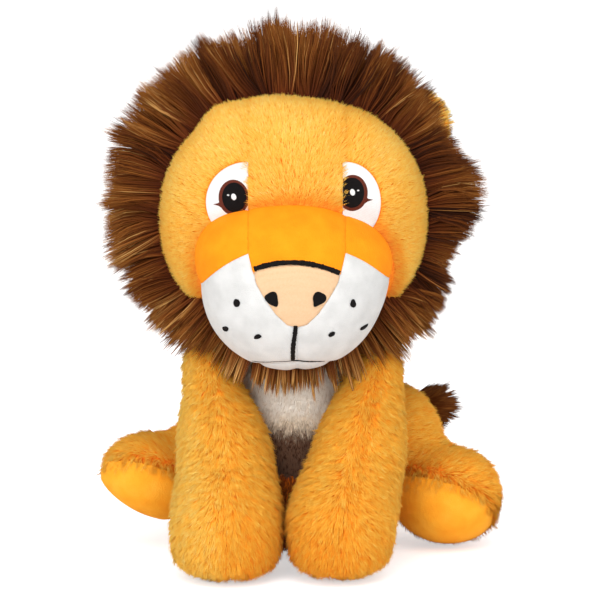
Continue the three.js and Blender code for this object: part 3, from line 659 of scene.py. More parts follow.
def shared_out(form, fields):
    """Gives each triangle to the panel whose field is lowest there and moves each seam's points onto it."""
    names = list(fields)
    centres = form.points[form.triangles].mean(1)
    owner = np.argmin([fields[name](centres) for name in names], axis=0)
    touched = np.zeros((len(names), len(form.points)), bool)
    for k in range(len(names)):
        touched[k, form.triangles[owner == k].ravel()] = True
    moved = np.zeros(len(form.points), bool)
    for i, first in enumerate(names):
        for j, second in enumerate(names[i + 1:], i + 1):
            border = np.flatnonzero(touched[i] & touched[j] & ~moved)
            if len(border):
                moved[border] = True
                moved_onto_seam(form, border, lambda p: fields[first](p) - fields[second](p))
    evened_out(form, moved)
    left_out = slivers(form, moved)
    return {name: np.flatnonzero((owner == k) & ~left_out) for k, name in enumerate(names)}


# Pieces

def piece(name, mesh, body, slot, fabric, fill=None, extra=False):
    """An object that stands in for the solid of its name, or adds to the solids as an extra."""
    ob = bpy.data.objects.new(name, mesh)
    bpy.context.scene.collection.objects.link(ob)
    mesh.materials.clear()
    mesh.materials.append(FABRICS[fabric])
    mesh.shade_smooth()
    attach(ob, body)
    if not extra:
        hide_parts(name)


def panel(name, form, chosen, body, slot, fabric, thickness=FABRIC, lift=0.0):
    """One cut of fabric with its thickness, taken from the chosen triangles of a form."""
    used, corners = np.unique(form.triangles[chosen], return_inverse=True)
    places = (form.points[used] + form.normals[used] * lift) * MM
    inward = [Vector(way) for way in form.normals[used] * (-thickness * MM)]
    bm = bmesh.new()
    row = bm.verts.layers.int.new("row")
    verts = [bm.verts.new(place) for place in places]
    for k, v in enumerate(verts):
        v[row] = k
    for a, b, c in corners.reshape(-1, 3):
        bm.faces.new((verts[a], verts[b], verts[c]))
    made = bmesh.ops.extrude_face_region(bm, geom=everything(bm), use_keep_orig=True)
    for v in made["geom"]:
        if isinstance(v, bmesh.types.BMVert):
            v.co += inward[v[row]]
    bmesh.ops.recalc_face_normals(bm, faces=bm.faces[:])
    bm.verts.layers.int.remove(bm.verts.layers.int["row"])
    piece(name, mesh_of(name, bm), body, slot, fabric, 0.8)


def bm_of_form(points, triangles):
    bm = bmesh.new()
    verts = [bm.verts.new(place) for place in points]
    for a, b, c in triangles:
        bm.faces.new((verts[a], verts[b], verts[c]))
    return bm


def inside_form(form, reshape=None):
    """The stuffing that stays under a form's panels, coarser than the form and put right by reshape."""
    places = form.points - form.normals * STUFFING_INSET
    # Where the form bends sharply, points that came too near the panels are taken back in
    tree = form.tree()
    for _ in range(2):
        for k, place in enumerate(places):
            spot, normal, _, _ = tree.find_nearest(Vector(place))
            if (Vector(place) - spot).dot(normal) > -0.85 * STUFFING_INSET:
                places[k] = spot - normal * STUFFING_INSET
    if reshape:
        places = reshape(places)
    return bm_of(finished(bm_of_form(places, form.triangles), ("DECIMATE", {"ratio": 0.3})))


def stuffed(name, bm, body, slot, fabric, *cut):
    """A padded piece from bm, which is in millimetres. cut may give the height and way of a level cut."""
    into_metres(bm)
    if cut:
        cut_level(bm, *cut)
    piece(name, mesh_of(name, bm), body, slot, fabric, 0.8)


def cut_level(bm, height, way):
    """Keeps what lies below height for way 1 and above it for way -1, and closes the cut."""
    plane = {"plane_co": (0, 0, height * MM), "plane_no": (0, 0, way)}
    cut = bmesh.ops.bisect_plane(bm, geom=everything(bm), **plane, clear_outer=True)
    edges = [e for e in cut["geom_cut"] if isinstance(e, bmesh.types.BMEdge)]
    bmesh.ops.holes_fill(bm, edges=edges, sides=0)


# Fur

def fibre(rings, fullness=1.0):
    """One three-sided fibre 1 high that tapers from radius 1 to a point: its points and triangles."""
    bm = bmesh.new()
    cone = {"segments": 3, "radius1": 1, "radius2": 0, "depth": 1}
    bmesh.ops.create_cone(bm, cap_ends=True, **cone, matrix=Matrix.Translation((0, 0, 0.5)))
    bmesh.ops.remove_doubles(bm, verts=bm.verts[:], dist=1e-4)
    for k in range(1, rings):
        bmesh.ops.bisect_plane(bm, geom=everything(bm), plane_co=(0, 0, k / rings), plane_no=(0, 0, 1))
    bmesh.ops.triangulate(bm, faces=bm.faces[:])
    bm.verts.index_update()
    points = np.array([v.co[:] for v in bm.verts])
    corners = np.array([[v.index for v in face.verts] for face in bm.faces])
    bm.free()
    points[:, :2] *= (np.maximum(1 - points[:, 2], 1e-6) ** (fullness - 1))[:, None]
    return points, corners


SHORT = fibre(1)
MEDIUM = fibre(2, 0.6)
LONG = fibre(3, 0.5)
BLUNT = fibre(3, 0.28)


@dataclass
class Fur:
    """A kind of fur. Its tufts are clump across and lean by spread, and their tips draw together by gather.

    Tips fall short by up to tips_vary. locks is the width of its locks, follow is how much the fibres are
    lit like the skin below them, and no fibre goes below floor.
    """

    fabric: str
    slot: str
    shape: tuple
    width: float
    clump: float = 3.0
    gather: float = 0.55
    spread: float = 0.25
    tips_vary: float = 0.2
    locks: float = 0
    follow: float = 0.7
    floor: float = -math.inf


PLUSH, BROWN = ("orange_pile", "orange_plush", SHORT), ("brown_pile", "brown_fur")
MANE_TUFTS = {"clump": 3.2, "gather": 0.3, "spread": 0.08, "locks": 7.5, "follow": 0.4}
TORSO_TUFTS = {"clump": 3.4, "gather": 0.5, "spread": 0.24, "floor": 0.1}
FACE_FUR = Fur("face_pile", "orange_plush", SHORT, 0.38, 2.2, 0.25, 0.2, follow=0.8)
MANE_FUR = {
    "front": Fur(*BROWN, LONG, 0.56, tips_vary=0.12, **MANE_TUFTS),
    "middle": Fur(*BROWN, MEDIUM, 0.56, tips_vary=0.12, **MANE_TUFTS),
    "back": Fur(*BROWN, MEDIUM, 0.7, tips_vary=0.2, **MANE_TUFTS),
}
FRINGE_FUR = Fur(*BROWN, BLUNT, 0.6, 2.6, 0.75, 0.06, 0.3, follow=0.5)
JAW_FUR = Fur(*BROWN, LONG, 0.62, 3.4, 0.6, 0.1, 0.3, follow=0.5)
EAR_FUR = Fur(*PLUSH, 0.5)
LEG_FUR = Fur(*PLUSH, 0.42, 2.8, 0.42, 0.22, follow=0.88, floor=0.1)
BODY_FUR = Fur(*PLUSH, 0.55, **TORSO_TUFTS)
BIB_FUR = Fur("cream_pile", "white_velboa", SHORT, 0.45, **TORSO_TUFTS)
TAIL_FUR = Fur(*PLUSH, 0.5, floor=0.1)
TUFT_FUR = Fur(*BROWN, MEDIUM, 0.6, 3.0, 0.4, 0.12, 0.3, follow=0.4)


def scattered(rng, form, chosen, per_mm2, where=None):
    """Random places on the chosen triangles and their normals. where gives the share that is kept at each."""
    areas = form.areas[chosen]
    count = int(areas.sum() * per_mm2)
    drawn = chosen[rng.choice(len(chosen), count, p=areas / areas.sum())]
    a, b = rng.random((2, count))
    over = a + b > 1
    a[over], b[over] = 1 - a[over], 1 - b[over]
    shares = np.stack([1 - a - b, a, b], 1)[:, :, None]
    roots = (form.points[form.triangles[drawn]] * shares).sum(1)
    normals = (form.normals[form.triangles[drawn]] * shares).sum(1)
    normals /= np.linalg.norm(normals, axis=1)[:, None]
    if where is not None:
        kept = rng.random(count) < where(roots)
        roots, normals = roots[kept], normals[kept]
    return roots, normals


def clumps_of(rng, roots, size):
    """The tuft that each root belongs to, size millimetres across."""
    count = max(int(len(roots) / max(size * size, 1)), 1)
    centres = roots[rng.choice(len(roots), min(count, len(roots)), replace=False)]
    tree = kdtree.KDTree(len(centres))
    for i, centre in enumerate(centres):
        tree.insert(centre, i)
    tree.balance()
    return np.array([tree.find(root)[1] for root in roots]), len(centres)


def combed(rng, roots, normals, comb, length, lie):
    """Ways and bends for a pile that leans along comb. lie is 0 for upright fibres and 1 for flat ones."""
    flat = unit(comb - (comb * normals).sum(1)[:, None] * normals)
    turn = rng.normal(0, 0.25, len(roots))
    flat = flat * np.cos(turn)[:, None] + np.cross(normals, flat) * np.sin(turn)[:, None]
    lie, length = (np.broadcast_to(value, len(roots))[:, None] for value in (lie, length))
    ways = unit(flat * np.sin(lie * math.pi / 2) + normals * np.cos(lie * math.pi / 2)) * length
    return ways, normals * (length * 0.25 * lie)


def tips_drawn_together(rng, roots, ways, tuft, tufts, gather):
    tips = roots + ways
    sizes = np.maximum(np.bincount(tuft, minlength=tufts), 1)
    middles = np.stack([np.bincount(tuft, tips[:, k], tufts) for k in range(3)], 1) / sizes[:, None]
    tips += (middles[tuft] - tips) * (gather * rng.uniform(0.5, 1.0, len(roots)))[:, None]
    return tips - roots


def pile_mesh(name, places, shade, points, corners):
    """One mesh of all fibres, whose map holds each fibre's tone and the way from its root to its tip."""
    count, size = len(places), len(points)
    mesh = bpy.data.meshes.new(name)
    mesh.vertices.add(count * size)
    mesh.vertices.foreach_set("co", (places * MM).astype(np.float32).ravel())
    loops = (corners[None] + (np.arange(count) * size)[:, None, None]).reshape(-1)
    mesh.loops.add(len(loops))
    mesh.loops.foreach_set("vertex_index", loops.astype(np.int32))
    mesh.polygons.add(len(loops) // 3)
    mesh.polygons.foreach_set("loop_start", np.arange(0, len(loops), 3, dtype=np.int32))
    map_u = shade[:, None] + points[None, :, 0] * 0.006
    map_v = np.broadcast_to(0.03 + 0.94 * points[None, :, 2], map_u.shape)
    layer = mesh.uv_layers.new(name="OFBake")
    on_map = np.stack([map_u.ravel()[loops], map_v.ravel()[loops]], 1)
    layer.uv.foreach_set("vector", on_map.astype(np.float32).ravel())
    mesh.update(calc_edges=True)
    return mesh


def pile(name, body, fur, rng, roots, ways, bends, tone, facing):
    """Fibres from their roots: ways leads from root to tip and bends is how far the middles stand off it.

    The fibres turn to facing. Soft fibres light up much like the skin they stand on, so their shading
    leans towards it too.
    """
    count = len(roots)
    tuft, tufts = clumps_of(rng, roots, fur.clump)
    length = np.linalg.norm(ways, axis=1)
    ways = ways + rng.normal(0, fur.spread, (tufts, 3))[tuft] * length[:, None] * 0.6
    if fur.locks:
        lock, locks = clumps_of(rng, roots, fur.locks)
        ways = ways + rng.normal(0, 0.09, (locks, 3))[lock] * length[:, None]
        length = length * (1 + rng.normal(0, 0.05, locks))[lock]
        tone = tone + rng.normal(0, 0.1, locks)[lock]
    ways = ways + rng.normal(0, fur.spread, (count, 3)) * length[:, None] * 0.35
    ways = unit(ways) * length[:, None]
    ways *= (1 + rng.normal(0, fur.tips_vary * 0.5, tufts))[tuft][:, None].clip(0.6, 1.4)
    ways *= (1 - rng.random(count) * fur.tips_vary)[:, None]
    ways = tips_drawn_together(rng, roots, ways, tuft, tufts, fur.gather)
    side = unit(np.cross(ways, facing + rng.normal(0, 0.35, (count, 3))))
    other = unit(np.cross(ways, side))
    points, corners = fur.shape
    up = points[:, 2][None, :, None]
    radius = (fur.width * rng.uniform(0.75, 1.25, count))[:, None, None] / 2
    off_middle = side[:, None] * points[None, :, :1] + other[:, None] * points[None, :, 1:2]
    places = roots[:, None] + ways[:, None] * up + bends[:, None] * (4 * up * (1 - up)) + off_middle * radius
    places[:, :, 2] = np.maximum(places[:, :, 2], fur.floor)
    shade = np.clip(tone + rng.normal(0, 0.06, tufts)[tuft] + rng.normal(0, 0.08, count), 0.02, 0.98)
    mesh = pile_mesh(name, places, shade, points, corners)
    piece(name, mesh, body, fur.slot, fur.fabric, extra=True)
    own = off_middle / np.maximum(np.linalg.norm(off_middle, axis=2), 1e-6)[:, :, None]
    lit = facing[:, None] * fur.follow + own * (1 - fur.follow)
    mesh.normals_split_custom_set_from_vertices(unit(lit.reshape(-1, 3)).tolist())


# Seams of the stuffed forms

def bridge_half(z):
    """Half the width of the muzzle's middle strip, which narrows to the ends of the nose."""
    return GUSSET - (GUSSET - NOSE_HALF - 0.4) * rising(z, 151, 142)


def above_nose(points):
    """How far points lie outside the arc over the nose."""
    return outside_ellipse(points, 0, NOSE_TIP_Z, NOSE_TOP, -NOSE_TILT)


def outside_lips(points):
    return outside_ellipse(points, 0, LIP_MIDDLE_Z, LIP_HALF)


def lip_seams(points):
    x, z = np.abs(points[:, 0]), points[:, 2]
    strip = np.where(z > 139, np.abs(x - bridge_half(z)), 99)
    outer = np.where(x > GUSSET - 1, np.abs(outside_lips(points)), 99)
    middle = np.where((x < GUSSET + 1) & (z > 125), np.abs(above_nose(points)), 99)
    return np.min([strip, outer, middle], axis=0)


def gusset_seams(points):
    x, y, z = np.abs(points[:, 0]), points[:, 1], points[:, 2]
    return np.where((y < HAIRLINE_Y) & (z > GUSSET_FOOT_Z), np.abs(x - GUSSET), 99)


def head_seams(points):
    hairline = np.abs(points[:, 1] - HAIRLINE_Y)
    return np.min([gusset_seams(points), hairline, np.abs(in_muzzle(points))], axis=0)


def leg_seam(side):
    """The plane of a foreleg's seams: how far points lie to one side of it."""
    shoulder, paw = (np.array(FORELEGS[side][k][0], float) for k in (0, 2))
    across = np.cross(paw - shoulder, (0, SIDES[side], 0))
    across /= np.linalg.norm(across)
    return lambda points: (points - shoulder) @ across


def bib_field(points):
    """How far points lie outside the bib, whose sides run back beside the neck."""
    x, z = np.abs(points[:, 0]), points[:, 2]
    out = np.full(len(points), -99.0)
    for (x0, z0), (x1, z1) in zip(BIB, BIB[1:]):
        long = math.hypot(x1 - x0, z1 - z0)
        out = np.maximum(out, ((x - x0) * (z1 - z0) - (z - z0) * (x1 - x0)) / long)
    return np.maximum(out, points[:, 1] + 12 - 8 * rising(z, 60, 75))


def torso_seams(points):
    return np.minimum(np.abs(points[:, 2] - SEAT_TOP), np.abs(bib_field(points)))


# The stuffed forms, each blown up between its seams

def head_form():
    bm = round_form(HEAD, HEAD_HALF - 2.2)
    for v in bm.verts:
        v.co.x -= 1.6 * rising(abs(v.co.x), 30, 50)
        # A fuller corner over the lion's right brow
        turn = math.degrees(math.atan2(v.co.z - HEAD[2], v.co.x))
        fuller_by = 5 * hump(turn, 126, 9) + 2.6 * hump(turn, 105, 14)
        fuller_by *= rising(v.co.y, 6, -10) * rising(math.hypot(v.co.x, v.co.z - HEAD[2]), 30, 55)
        v.co += Vector((math.cos(math.radians(turn)), 0, math.sin(math.radians(turn)))) * fuller_by
    return blown_up(bm, head_seams, 2.5, 1.2)


def muzzle_form():
    """The muzzle, whose right shoulder is fuller and whose left cheek is slimmer."""
    bm = round_form(MUZZLE, MUZZLE_HALF)
    for v in bm.verts:
        low, high = rising(v.co.z, 142, 120), rising(v.co.z, 132, 146)
        if v.co.x < 0:
            v.co.z += 4.5 * rising(-v.co.x, 10, 36) * rising(v.co.z, 138, 150)
            v.co.x *= 1 + 0.08 * high
        else:
            v.co.x -= 3.0 * low * rising(v.co.x, 0, 20)
        v.co.x = v.co.x * (1 - 0.075 * low) - 0.9 * low
    return blown_up(bm, lip_seams, 1.6, 1.0, 2)


def torso_form():
    bm = pear_form()
    for v in bm.verts:
        # Shoulders that fill the room between the forelegs' tops
        shoulder = hump(v.co.z, 80, 9) * rising(v.co.y, 10, -2)
        v.co.x += shoulder * (-4.5 if v.co.x < 0 else 1.5) * rising(abs(v.co.x), 0, 16)
    press(bm, 0, -HIP_X + 0.4)
    press(bm, 0, HIP_X - 0.4, -1)
    press(bm, 2, 1.0)
    return blown_up(fused(bm, smoothing=1), torso_seams, 2.0, 2.6)


def foreleg_form(side):
    bm = limb_form(FORELEGS[side])
    paw = FORELEGS[side][2][0]
    for v in bm.verts:
        # The paws spread a little where they stand
        spread = Vector((v.co.x - paw[0], v.co.y - paw[1], 0))
        if v.co.z < 40 and spread.length > 1 and v.co.y < paw[1] + 12:
            v.co += spread.normalized() * PAW_SPREAD[side] * hump(v.co.z, 5, 9)
    press(bm, 2, 0)
    press(bm, 0, PAWS_MEET_X - SIDES[side] * 2.0, SIDES[side])
    seam = leg_seam(side)
    return blown_up(fused(bm, smoothing=1), lambda p: np.abs(seam(p)), 2.5, 3.0)


def hindleg_form(side):
    way, paw = SIDES[side], HINDLEGS[side][2][0]
    bm = limb_form(HINDLEGS[side])
    for v in bm.verts:
        v.co.x += way * 3.2 * rising(way * v.co.x, 58, 82)
    press(bm, 2, HINDPAW_LIFT[side])
    press(bm, 0, way * (HIP_X + 0.4), way)
    if side == "right":
        # The lifted paw's outer underside is flat
        across, down, far = 0.555, 0.832, 25.5
        for v in bm.verts:
            past = -across * v.co.x - down * v.co.z - far
            if past > 0:
                v.co += Vector((across, 0, down)) * past

    def seams(p):
        return np.abs(outside_ellipse(p, *SOLE[side]) + 99 * (p[:, 1] > paw[1]))

    return blown_up(fused(bm, smoothing=1), seams, 2.5, 3.0)


def ear_form(side):
    bm = round_form(np.array(EARS[side]), np.array(EAR_HALF) + (-1.6, 0.4, -1.6), 4)
    return blown_up(bm, lambda p: np.abs(p[:, 1] - EARS[side][1]), 1.2, 1.6)


head, muzzle, torso = head_form(), muzzle_form(), torso_form()
forelegs, hindlegs, ears = {}, {}, {}
for side in SIDES:
    forelegs[side] = foreleg_form(side)
    hindlegs[side] = hindleg_form(side)
    ears[side] = ear_form(side)


def nose_top_z(x):
    return NOSE_TIP_Z + NOSE_TOP[1] * math.sqrt(1 - (x / NOSE_TOP[0]) ** 2) - NOSE_TILT * x


nose_half = [(wide * NOSE_HALF, NOSE_TIP_Z + high * NOSE_TOP[1]) for wide, high in NOSE_SIDE]
nose_half += [(share * NOSE_HALF, nose_top_z(share * NOSE_HALF)) for share in (1, 0.85, 0.7, 0.5, 0.25, 0)]
nose_outline = nose_half + [
    (-x, z + 2 * NOSE_TILT * x * (z > NOSE_TIP_Z + 20)) for x, z in reversed(nose_half) if x > 0
]


# Head

def face_fields():
    """The head's panels, and the parts of its form that lie in the muzzle or the neck."""
    def gone(p):
        return -in_muzzle(p) - 4.0

    def neck(p):
        return from_neck(p) - 0.8

    def front(p):
        return p[:, 1] - HAIRLINE_Y

    def low(p):
        return UNDER_HEAD_Z - p[:, 2]

    fields = {
        "behind_muzzle": opposite(gone),
        "socket": neck,
        "under_head_panel": most(opposite(low), gone, opposite(neck)),
        "forehead_gusset": most(lambda p: np.abs(p[:, 0]) - GUSSET, front, low, gone),
    }
    for side, way in SIDES.items():
        fields[f"cheek_{side}"] = most(lambda p, way=way: GUSSET - way * p[:, 0], front, low, gone)
        fields[f"mane_{side}"] = most(past_middle(way), opposite(front), low, opposite(neck))
    return fields


def clear_of_eyes(p):
    """Where the face has fur: not under the eyes' stitching and not behind the muzzle."""
    bare = np.zeros(len(p), bool)
    for side, way in SIDES.items():
        in_white = outside_ellipse(p, way * GUSSET, WHITE_Z, EYE_HALF[side]) < 0.1
        bare |= in_white & (way * p[:, 0] > EYE_INNER[side] - 0.2) & (p[:, 1] < HAIRLINE_Y)
    return ~bare & (in_muzzle(p) > -1)


def build_face_fur(rng, name, chosen):
    roots, normals = scattered(rng, head, chosen, 1.2 if name == "under_head_panel" else 5.0, clear_of_eyes)
    x, z = roots[:, 0], roots[:, 2]
    from_seam = np.abs(x) - GUSSET
    comb = roots - np.array([0, -62, 146])
    comb[:, 0] *= 1.3
    # The strip's own edges lean out over the seams and the inner edges of the eyes
    edge = hump(from_seam, -0.6, 1.4) * (from_seam < 0.3) * rng.uniform(0.3, 1.4, len(roots))
    comb = unit(comb)
    comb[:, 0] += 1.2 * edge * np.sign(x)
    ways, bends = combed(rng, roots, normals, comb, 3.7 + 0.9 * edge, 0.68)
    crease_shade = hump(in_muzzle(roots), 0, 3.2)
    seam = hump(from_seam, 0, 1.5) * rng.random(len(roots))
    lump = np.sin(x / 6.1 + 1.3) * np.sin(z / 7.3) + np.sin(x / 13.7 - z / 9.1)
    # Painted shade darkens the fur in the crease round the muzzle, and painted light makes it a little
    # lighter higher up the head
    tone = 0.6 - 0.34 * crease_shade - 0.2 * seam + 0.035 * lump + 0.05 * (z - 157) / 50
    pile(f"{name}_pile", "head", FACE_FUR, rng, roots, ways, bends, tone, normals)


def out_of_neck(places):
    apart = places - NECK
    far = np.linalg.norm(apart, axis=1)
    return NECK + apart * (np.maximum(far, NECK_R + 1.2) / far)[:, None]


def build_head():
    rng = np.random.default_rng(11)
    groove(head, gusset_seams, 0.7, 1.8)
    groove(head, in_muzzle, 1.0, 4)
    parts = shared_out(head, face_fields())
    for name in ("forehead_gusset", "cheek_left", "cheek_right", "under_head_panel"):
        panel(name, head, parts[name], "head", "orange_plush", "orange_backing")
        build_face_fur(rng, name, parts[name])
    for side in SIDES:
        panel(f"mane_{side}", head, parts[f"mane_{side}"], "head", "brown_fur", "brown_backing")
    stuffed("head_stuffing", inside_form(head, out_of_neck), "head", "fibre_fill", "fibre_fill")
    return parts


# Mane

# The rows of its fur: between which Y they grow, and how many fibres stand on a square millimetre
MANE_ROWS = {"front": (-16, -7, 4.6), "middle": (-7, 3, 3.4), "back": (3, 99, 0.95)}
MANE_DEPTH = 67
BACK_LENGTH = 27


def mane_headings(roots, normals, radial, depth):
    """The mane stands out round the face and lies down towards the back of the head."""
    heading = radial * (1 - 0.75 * depth)[:, None] + normals * (0.25 + 0.25 * depth)[:, None]
    heading[:, 1] += -0.30 + 1.1 * np.minimum(depth * 2.2, 0.55)
    heading[:, 2] -= 0.85 * depth
    return unit(heading)


def build_mane_row(rng, side, row, chosen):
    first, last, per_mm2 = MANE_ROWS[row]
    roots, normals = scattered(rng, head, chosen, per_mm2, lambda p: (p[:, 1] > first) & (p[:, 1] <= last))
    if row != "back":
        above_fringe = roots[:, 2] > 104
        roots, normals = roots[above_fringe], normals[above_fringe]
    out = (roots - HEAD) * (1, 0, 1)
    radial = unit(out)
    angle = np.degrees(np.arctan2(radial[:, 2], radial[:, 0]))
    angle = np.where(angle < -90, angle + 360, angle)
    depth = rising(roots[:, 1], HAIRLINE_Y, HAIRLINE_Y + MANE_DEPTH)
    heading = mane_headings(roots, normals, radial, depth)
    to_tips = np.maximum(np.interp(angle, *zip(*MANE_REACH)) - np.linalg.norm(out, axis=1), 12)
    length = to_tips / np.maximum((heading * radial).sum(1), 0.75)
    length = np.where(depth > 0.25, np.minimum(length, BACK_LENGTH), length)
    # Broad locks that part, lean and shade into each other
    swing = np.sin(np.radians(angle * 11) + 2 * np.sin(np.radians(angle * 3.1)) + roots[:, 1] / 9)
    cross = np.sin(np.radians(angle * 23 + 40) + 1.6 * np.sin(np.radians(angle * 5.3)) - roots[:, 1] / 6)
    aside = np.stack([-radial[:, 2], 0 * angle, radial[:, 0]], 1)
    ways = unit(heading + aside * (0.1 * swing + 0.06 * cross)[:, None]) * length[:, None]
    bends = aside * (0.05 * length * cross)[:, None]
    bends[:, 2] += 0.06 * length * (1 - np.abs(radial[:, 2]))
    bends[:, 1] += -0.05 * length
    flyaway = rng.random(len(roots)) < 0.012
    # The mane is painted a little darker towards the lion's left, as painted shade on the side away from the
    # key lamp
    tone = 0.37 - 0.05 * roots[:, 0] / 60 + 0.11 * swing + 0.09 * cross + 0.08 * rng.normal(0, 1, len(roots))
    tone = tone + 0.5 * flyaway
    facing = unit(normals + [0, -0.5, 0.3])
    pile(f"mane_pile_{row}_{side}", "head", MANE_FUR[row], rng, roots, ways, bends, tone, facing)


def hanging_fur(name, fur, rng, roots, heading, length, tone, vary):
    """Straight fur that hangs from the head and faces forward."""
    ways = unit(np.stack(heading, 1)) * length[:, None]
    facing = unit(0 * ways + [0, -1, 0.4])
    tone = tone + vary * rng.normal(0, 1, len(roots))
    pile(name, "head", fur, rng, roots, ways, 0 * ways, tone, facing)


def build_fringe(rng):
    """The fringe that hangs under the muzzle, in locks with room between them."""
    def under_the_chin(p):
        return (p[:, 2] < 103) & (p[:, 1] < -24) & (p[:, 1] > -58) & (from_neck(p) > 1)

    roots, normals = scattered(rng, muzzle, np.arange(len(muzzle.triangles)), 3.4, under_the_chin)
    out_of_sight = normals @ np.array([0, -0.978, 0.208]) < -0.3
    roots = roots[out_of_sight]
    lock, locks = clumps_of(rng, roots, 4.2)
    kept = (rng.random(locks) < 0.72)[lock]
    roots, lock = roots[kept], lock[kept]
    side_on = np.clip(roots[:, 0] / 40, -1, 1)
    heading = [0.5 * side_on, -0.1 + 0 * side_on, -1 + 0.2 * np.abs(side_on)]
    length = (10 + 5 * rng.random(locks))[lock] + 2 * rng.random(len(roots)) + 5 * np.abs(side_on)
    hanging_fur("beard_pile", FRINGE_FUR, rng, roots, heading, length, 0.66, 0.14)


def build_jaw_fur(rng):
    """Longer fur from the mane's lower ends to the fringe."""
    def jaw(p):
        below = (p[:, 2] < 122) & (p[:, 1] < 4) & (p[:, 1] > -40) & (np.abs(p[:, 0]) > 18)
        return below & (in_muzzle(p) > -6) & (from_neck(p) > 2)

    roots, _ = scattered(rng, head, np.arange(len(head.triangles)), 1.9, jaw)
    side_on = np.clip(roots[:, 0] / 45, -1, 1)
    heading = [0.8 * side_on, -0.35 + 0 * side_on, -0.8 + 0.1 * np.abs(side_on)]
    hanging_fur("jaw_pile", JAW_FUR, rng, roots, heading, 22 + 5 * rng.random(len(roots)), 0.5, 0.12)


def build_beard():
    """The strip of backing that carries the fringe, sunk where it would reach into the muzzle."""
    bm = bmesh.new()
    bmesh.ops.create_uvsphere(bm, u_segments=32, v_segments=16, radius=1)
    for v in bm.verts:
        v.co = Vector((v.co.x * 15, v.co.y * 6, v.co.z * 5)) + Vector((0, -34, 96))
        v.co.z += min(outside(np.array([v.co[:]]), MUZZLE, MUZZLE_HALF - 1)[0], 0)
    into_metres(bm)
    piece("beard", mesh_of("beard", bm), "head", "brown_fur", "brown_backing", 0.5)


def build_mane(parts):
    rng = np.random.default_rng(23)
    for side in SIDES:
        for row in MANE_ROWS:
            build_mane_row(rng, side, row, parts[f"mane_{side}"])
    build_fringe(rng)
    build_jaw_fur(rng)
    build_beard()


# Muzzle

def mouth_z(x):
    """The height of the mouth's line, which bends down to its ends."""
    return MOUTH_Z - MOUTH_CURVE * np.minimum(x, MOUTH_REACH) ** 2


def muzzle_fields():
    def x(p):
        return np.abs(p[:, 0])

    def beside_strip(p):
        return x(p) - bridge_half(p[:, 2])

    def over_arc(p):
        return np.where(p[:, 2] > NOSE_TIP_Z, above_nose(p), -20)

    def white(p):
        inner = np.maximum(beside_strip(p), over_arc(p))
        outer = np.maximum(-beside_strip(p), outside_lips(p))
        return np.minimum(inner, outer)

    def nose(p):
        return outside_outline(p, nose_outline)

    def clear(p):
        return -outside(p, HEAD, HEAD_HALF - 3.6)

    def under_mouth(p):
        return p[:, 2] - mouth_z(x(p))

    fields = {
        "in_head": opposite(clear),
        "nose": most(nose, clear),
        "chin": most(under_mouth, clear),
        "muzzle_bridge": most(beside_strip, opposite(over_arc), opposite(nose), clear),
    }
    for side, way in SIDES.items():
        in_strip = [lambda p, way=way: bridge_half(p[:, 2]) - way * p[:, 0], lambda p: MOUTH_Z - p[:, 2]]
        fields[f"lip_{side}"] = most(white, past_middle(way), opposite(nose), opposite(under_mouth), clear)
        fields[f"muzzle_side_{side}"] = most(*in_strip, opposite(outside_lips), clear)
    return fields


def mouth_seam(p):
    x = np.abs(p[:, 0])
    return np.where(x < MOUTH_REACH, p[:, 2] - mouth_z(x), 99)


def build_muzzle():
    groove(muzzle, lip_seams, 0.4, 1.2)
    groove(muzzle, lambda p: outside_outline(p, nose_outline), 0.3, 0.9)
    groove(muzzle, lambda p: np.where(p[:, 2] < NOSE_TIP_Z, p[:, 0], 99), 0.9, 2.6)
    groove(muzzle, mouth_seam, 1.0, 1.8)
    parts = shared_out(muzzle, muzzle_fields())
    for name in ("muzzle_bridge", "muzzle_side_left", "muzzle_side_right"):
        panel(name, muzzle, parts[name], "head", "orange_velboa", "orange_velboa")
    for name in ("lip_left", "lip_right", "chin"):
        panel(name, muzzle, parts[name], "head", "white_velboa", "white_velboa")
    panel("nose", muzzle, parts["nose"], "head", "peach_thread", "peach_satin", lift=0.25)


# Stitched details

# How far in each ring of a stitched patch runs, and its share of the patch's height
PATCH_RINGS = [
    (1.0, 0.0), (0.985, 0.45), (0.95, 0.75), (0.88, 0.93),
    (0.75, 1.0), (0.55, 1.0), (0.35, 1.0), (0.15, 1.0),
]
BLACK, WHITE = ("black_thread", "black_satin"), ("white_thread", "white_satin")
BROWN_THREAD = ("brown_thread", "brown_satin")


def ellipse_points(x, z, half, count=48, tilt=0.0, taper=0.0):
    turns = [TURN * k / count for k in range(count)]
    places = [(half[0] * math.cos(t) * (1 + taper * math.sin(t)), half[1] * math.sin(t)) for t in turns]
    c, s = math.cos(tilt), math.sin(tilt)
    return [(x + a * c - b * s, z + a * s + b * c) for a, b in places]


def seen_from_front(tree, x, z, out):
    """The place in metres that lies out in front of the surface in tree at X and Z."""
    spot, _, _, _ = tree.ray_cast(Vector((x, -200, z)), Vector((0, 1, 0)))
    if spot is None:
        spot, _, _, _ = tree.find_nearest(Vector((x, -60, z)))
    return (spot + Vector((0, -out, 0))) * MM


def skinned(name, bm, rings):
    """The mesh of a closed skin over rings of points."""
    for first, second in zip(rings, rings[1:]):
        edges = []
        for ring in (first, second):
            for a, b in zip(ring, ring[1:] + ring[:1]):
                edges.append(bm.edges.get((a, b)) or bm.edges.new((a, b)))
        bmesh.ops.bridge_loops(bm, edges=edges)
    bm.faces.new(rings[-1])
    bm.faces.new(list(reversed(rings[0])))
    bmesh.ops.recalc_face_normals(bm, faces=bm.faces[:])
    return mesh_of(name, bm)


def patch(name, outline, middle, tree, thread, lift, height, back=-2.5, extra=False):
    """A stitched patch in front of the surface in tree: its rim by lift and its back side by back."""
    mx, mz = middle
    bm = bmesh.new()
    rings = [[bm.verts.new(seen_from_front(tree, x, z, back)) for x, z in outline]]
    for share, rise in PATCH_RINGS:
        ring = [(mx + (x - mx) * share, mz + (z - mz) * share) for x, z in outline]
        rings.append([bm.verts.new(seen_from_front(tree, x, z, lift + height * rise)) for x, z in ring])
    piece(name, skinned(name, bm, rings), "head", *thread, extra=extra)


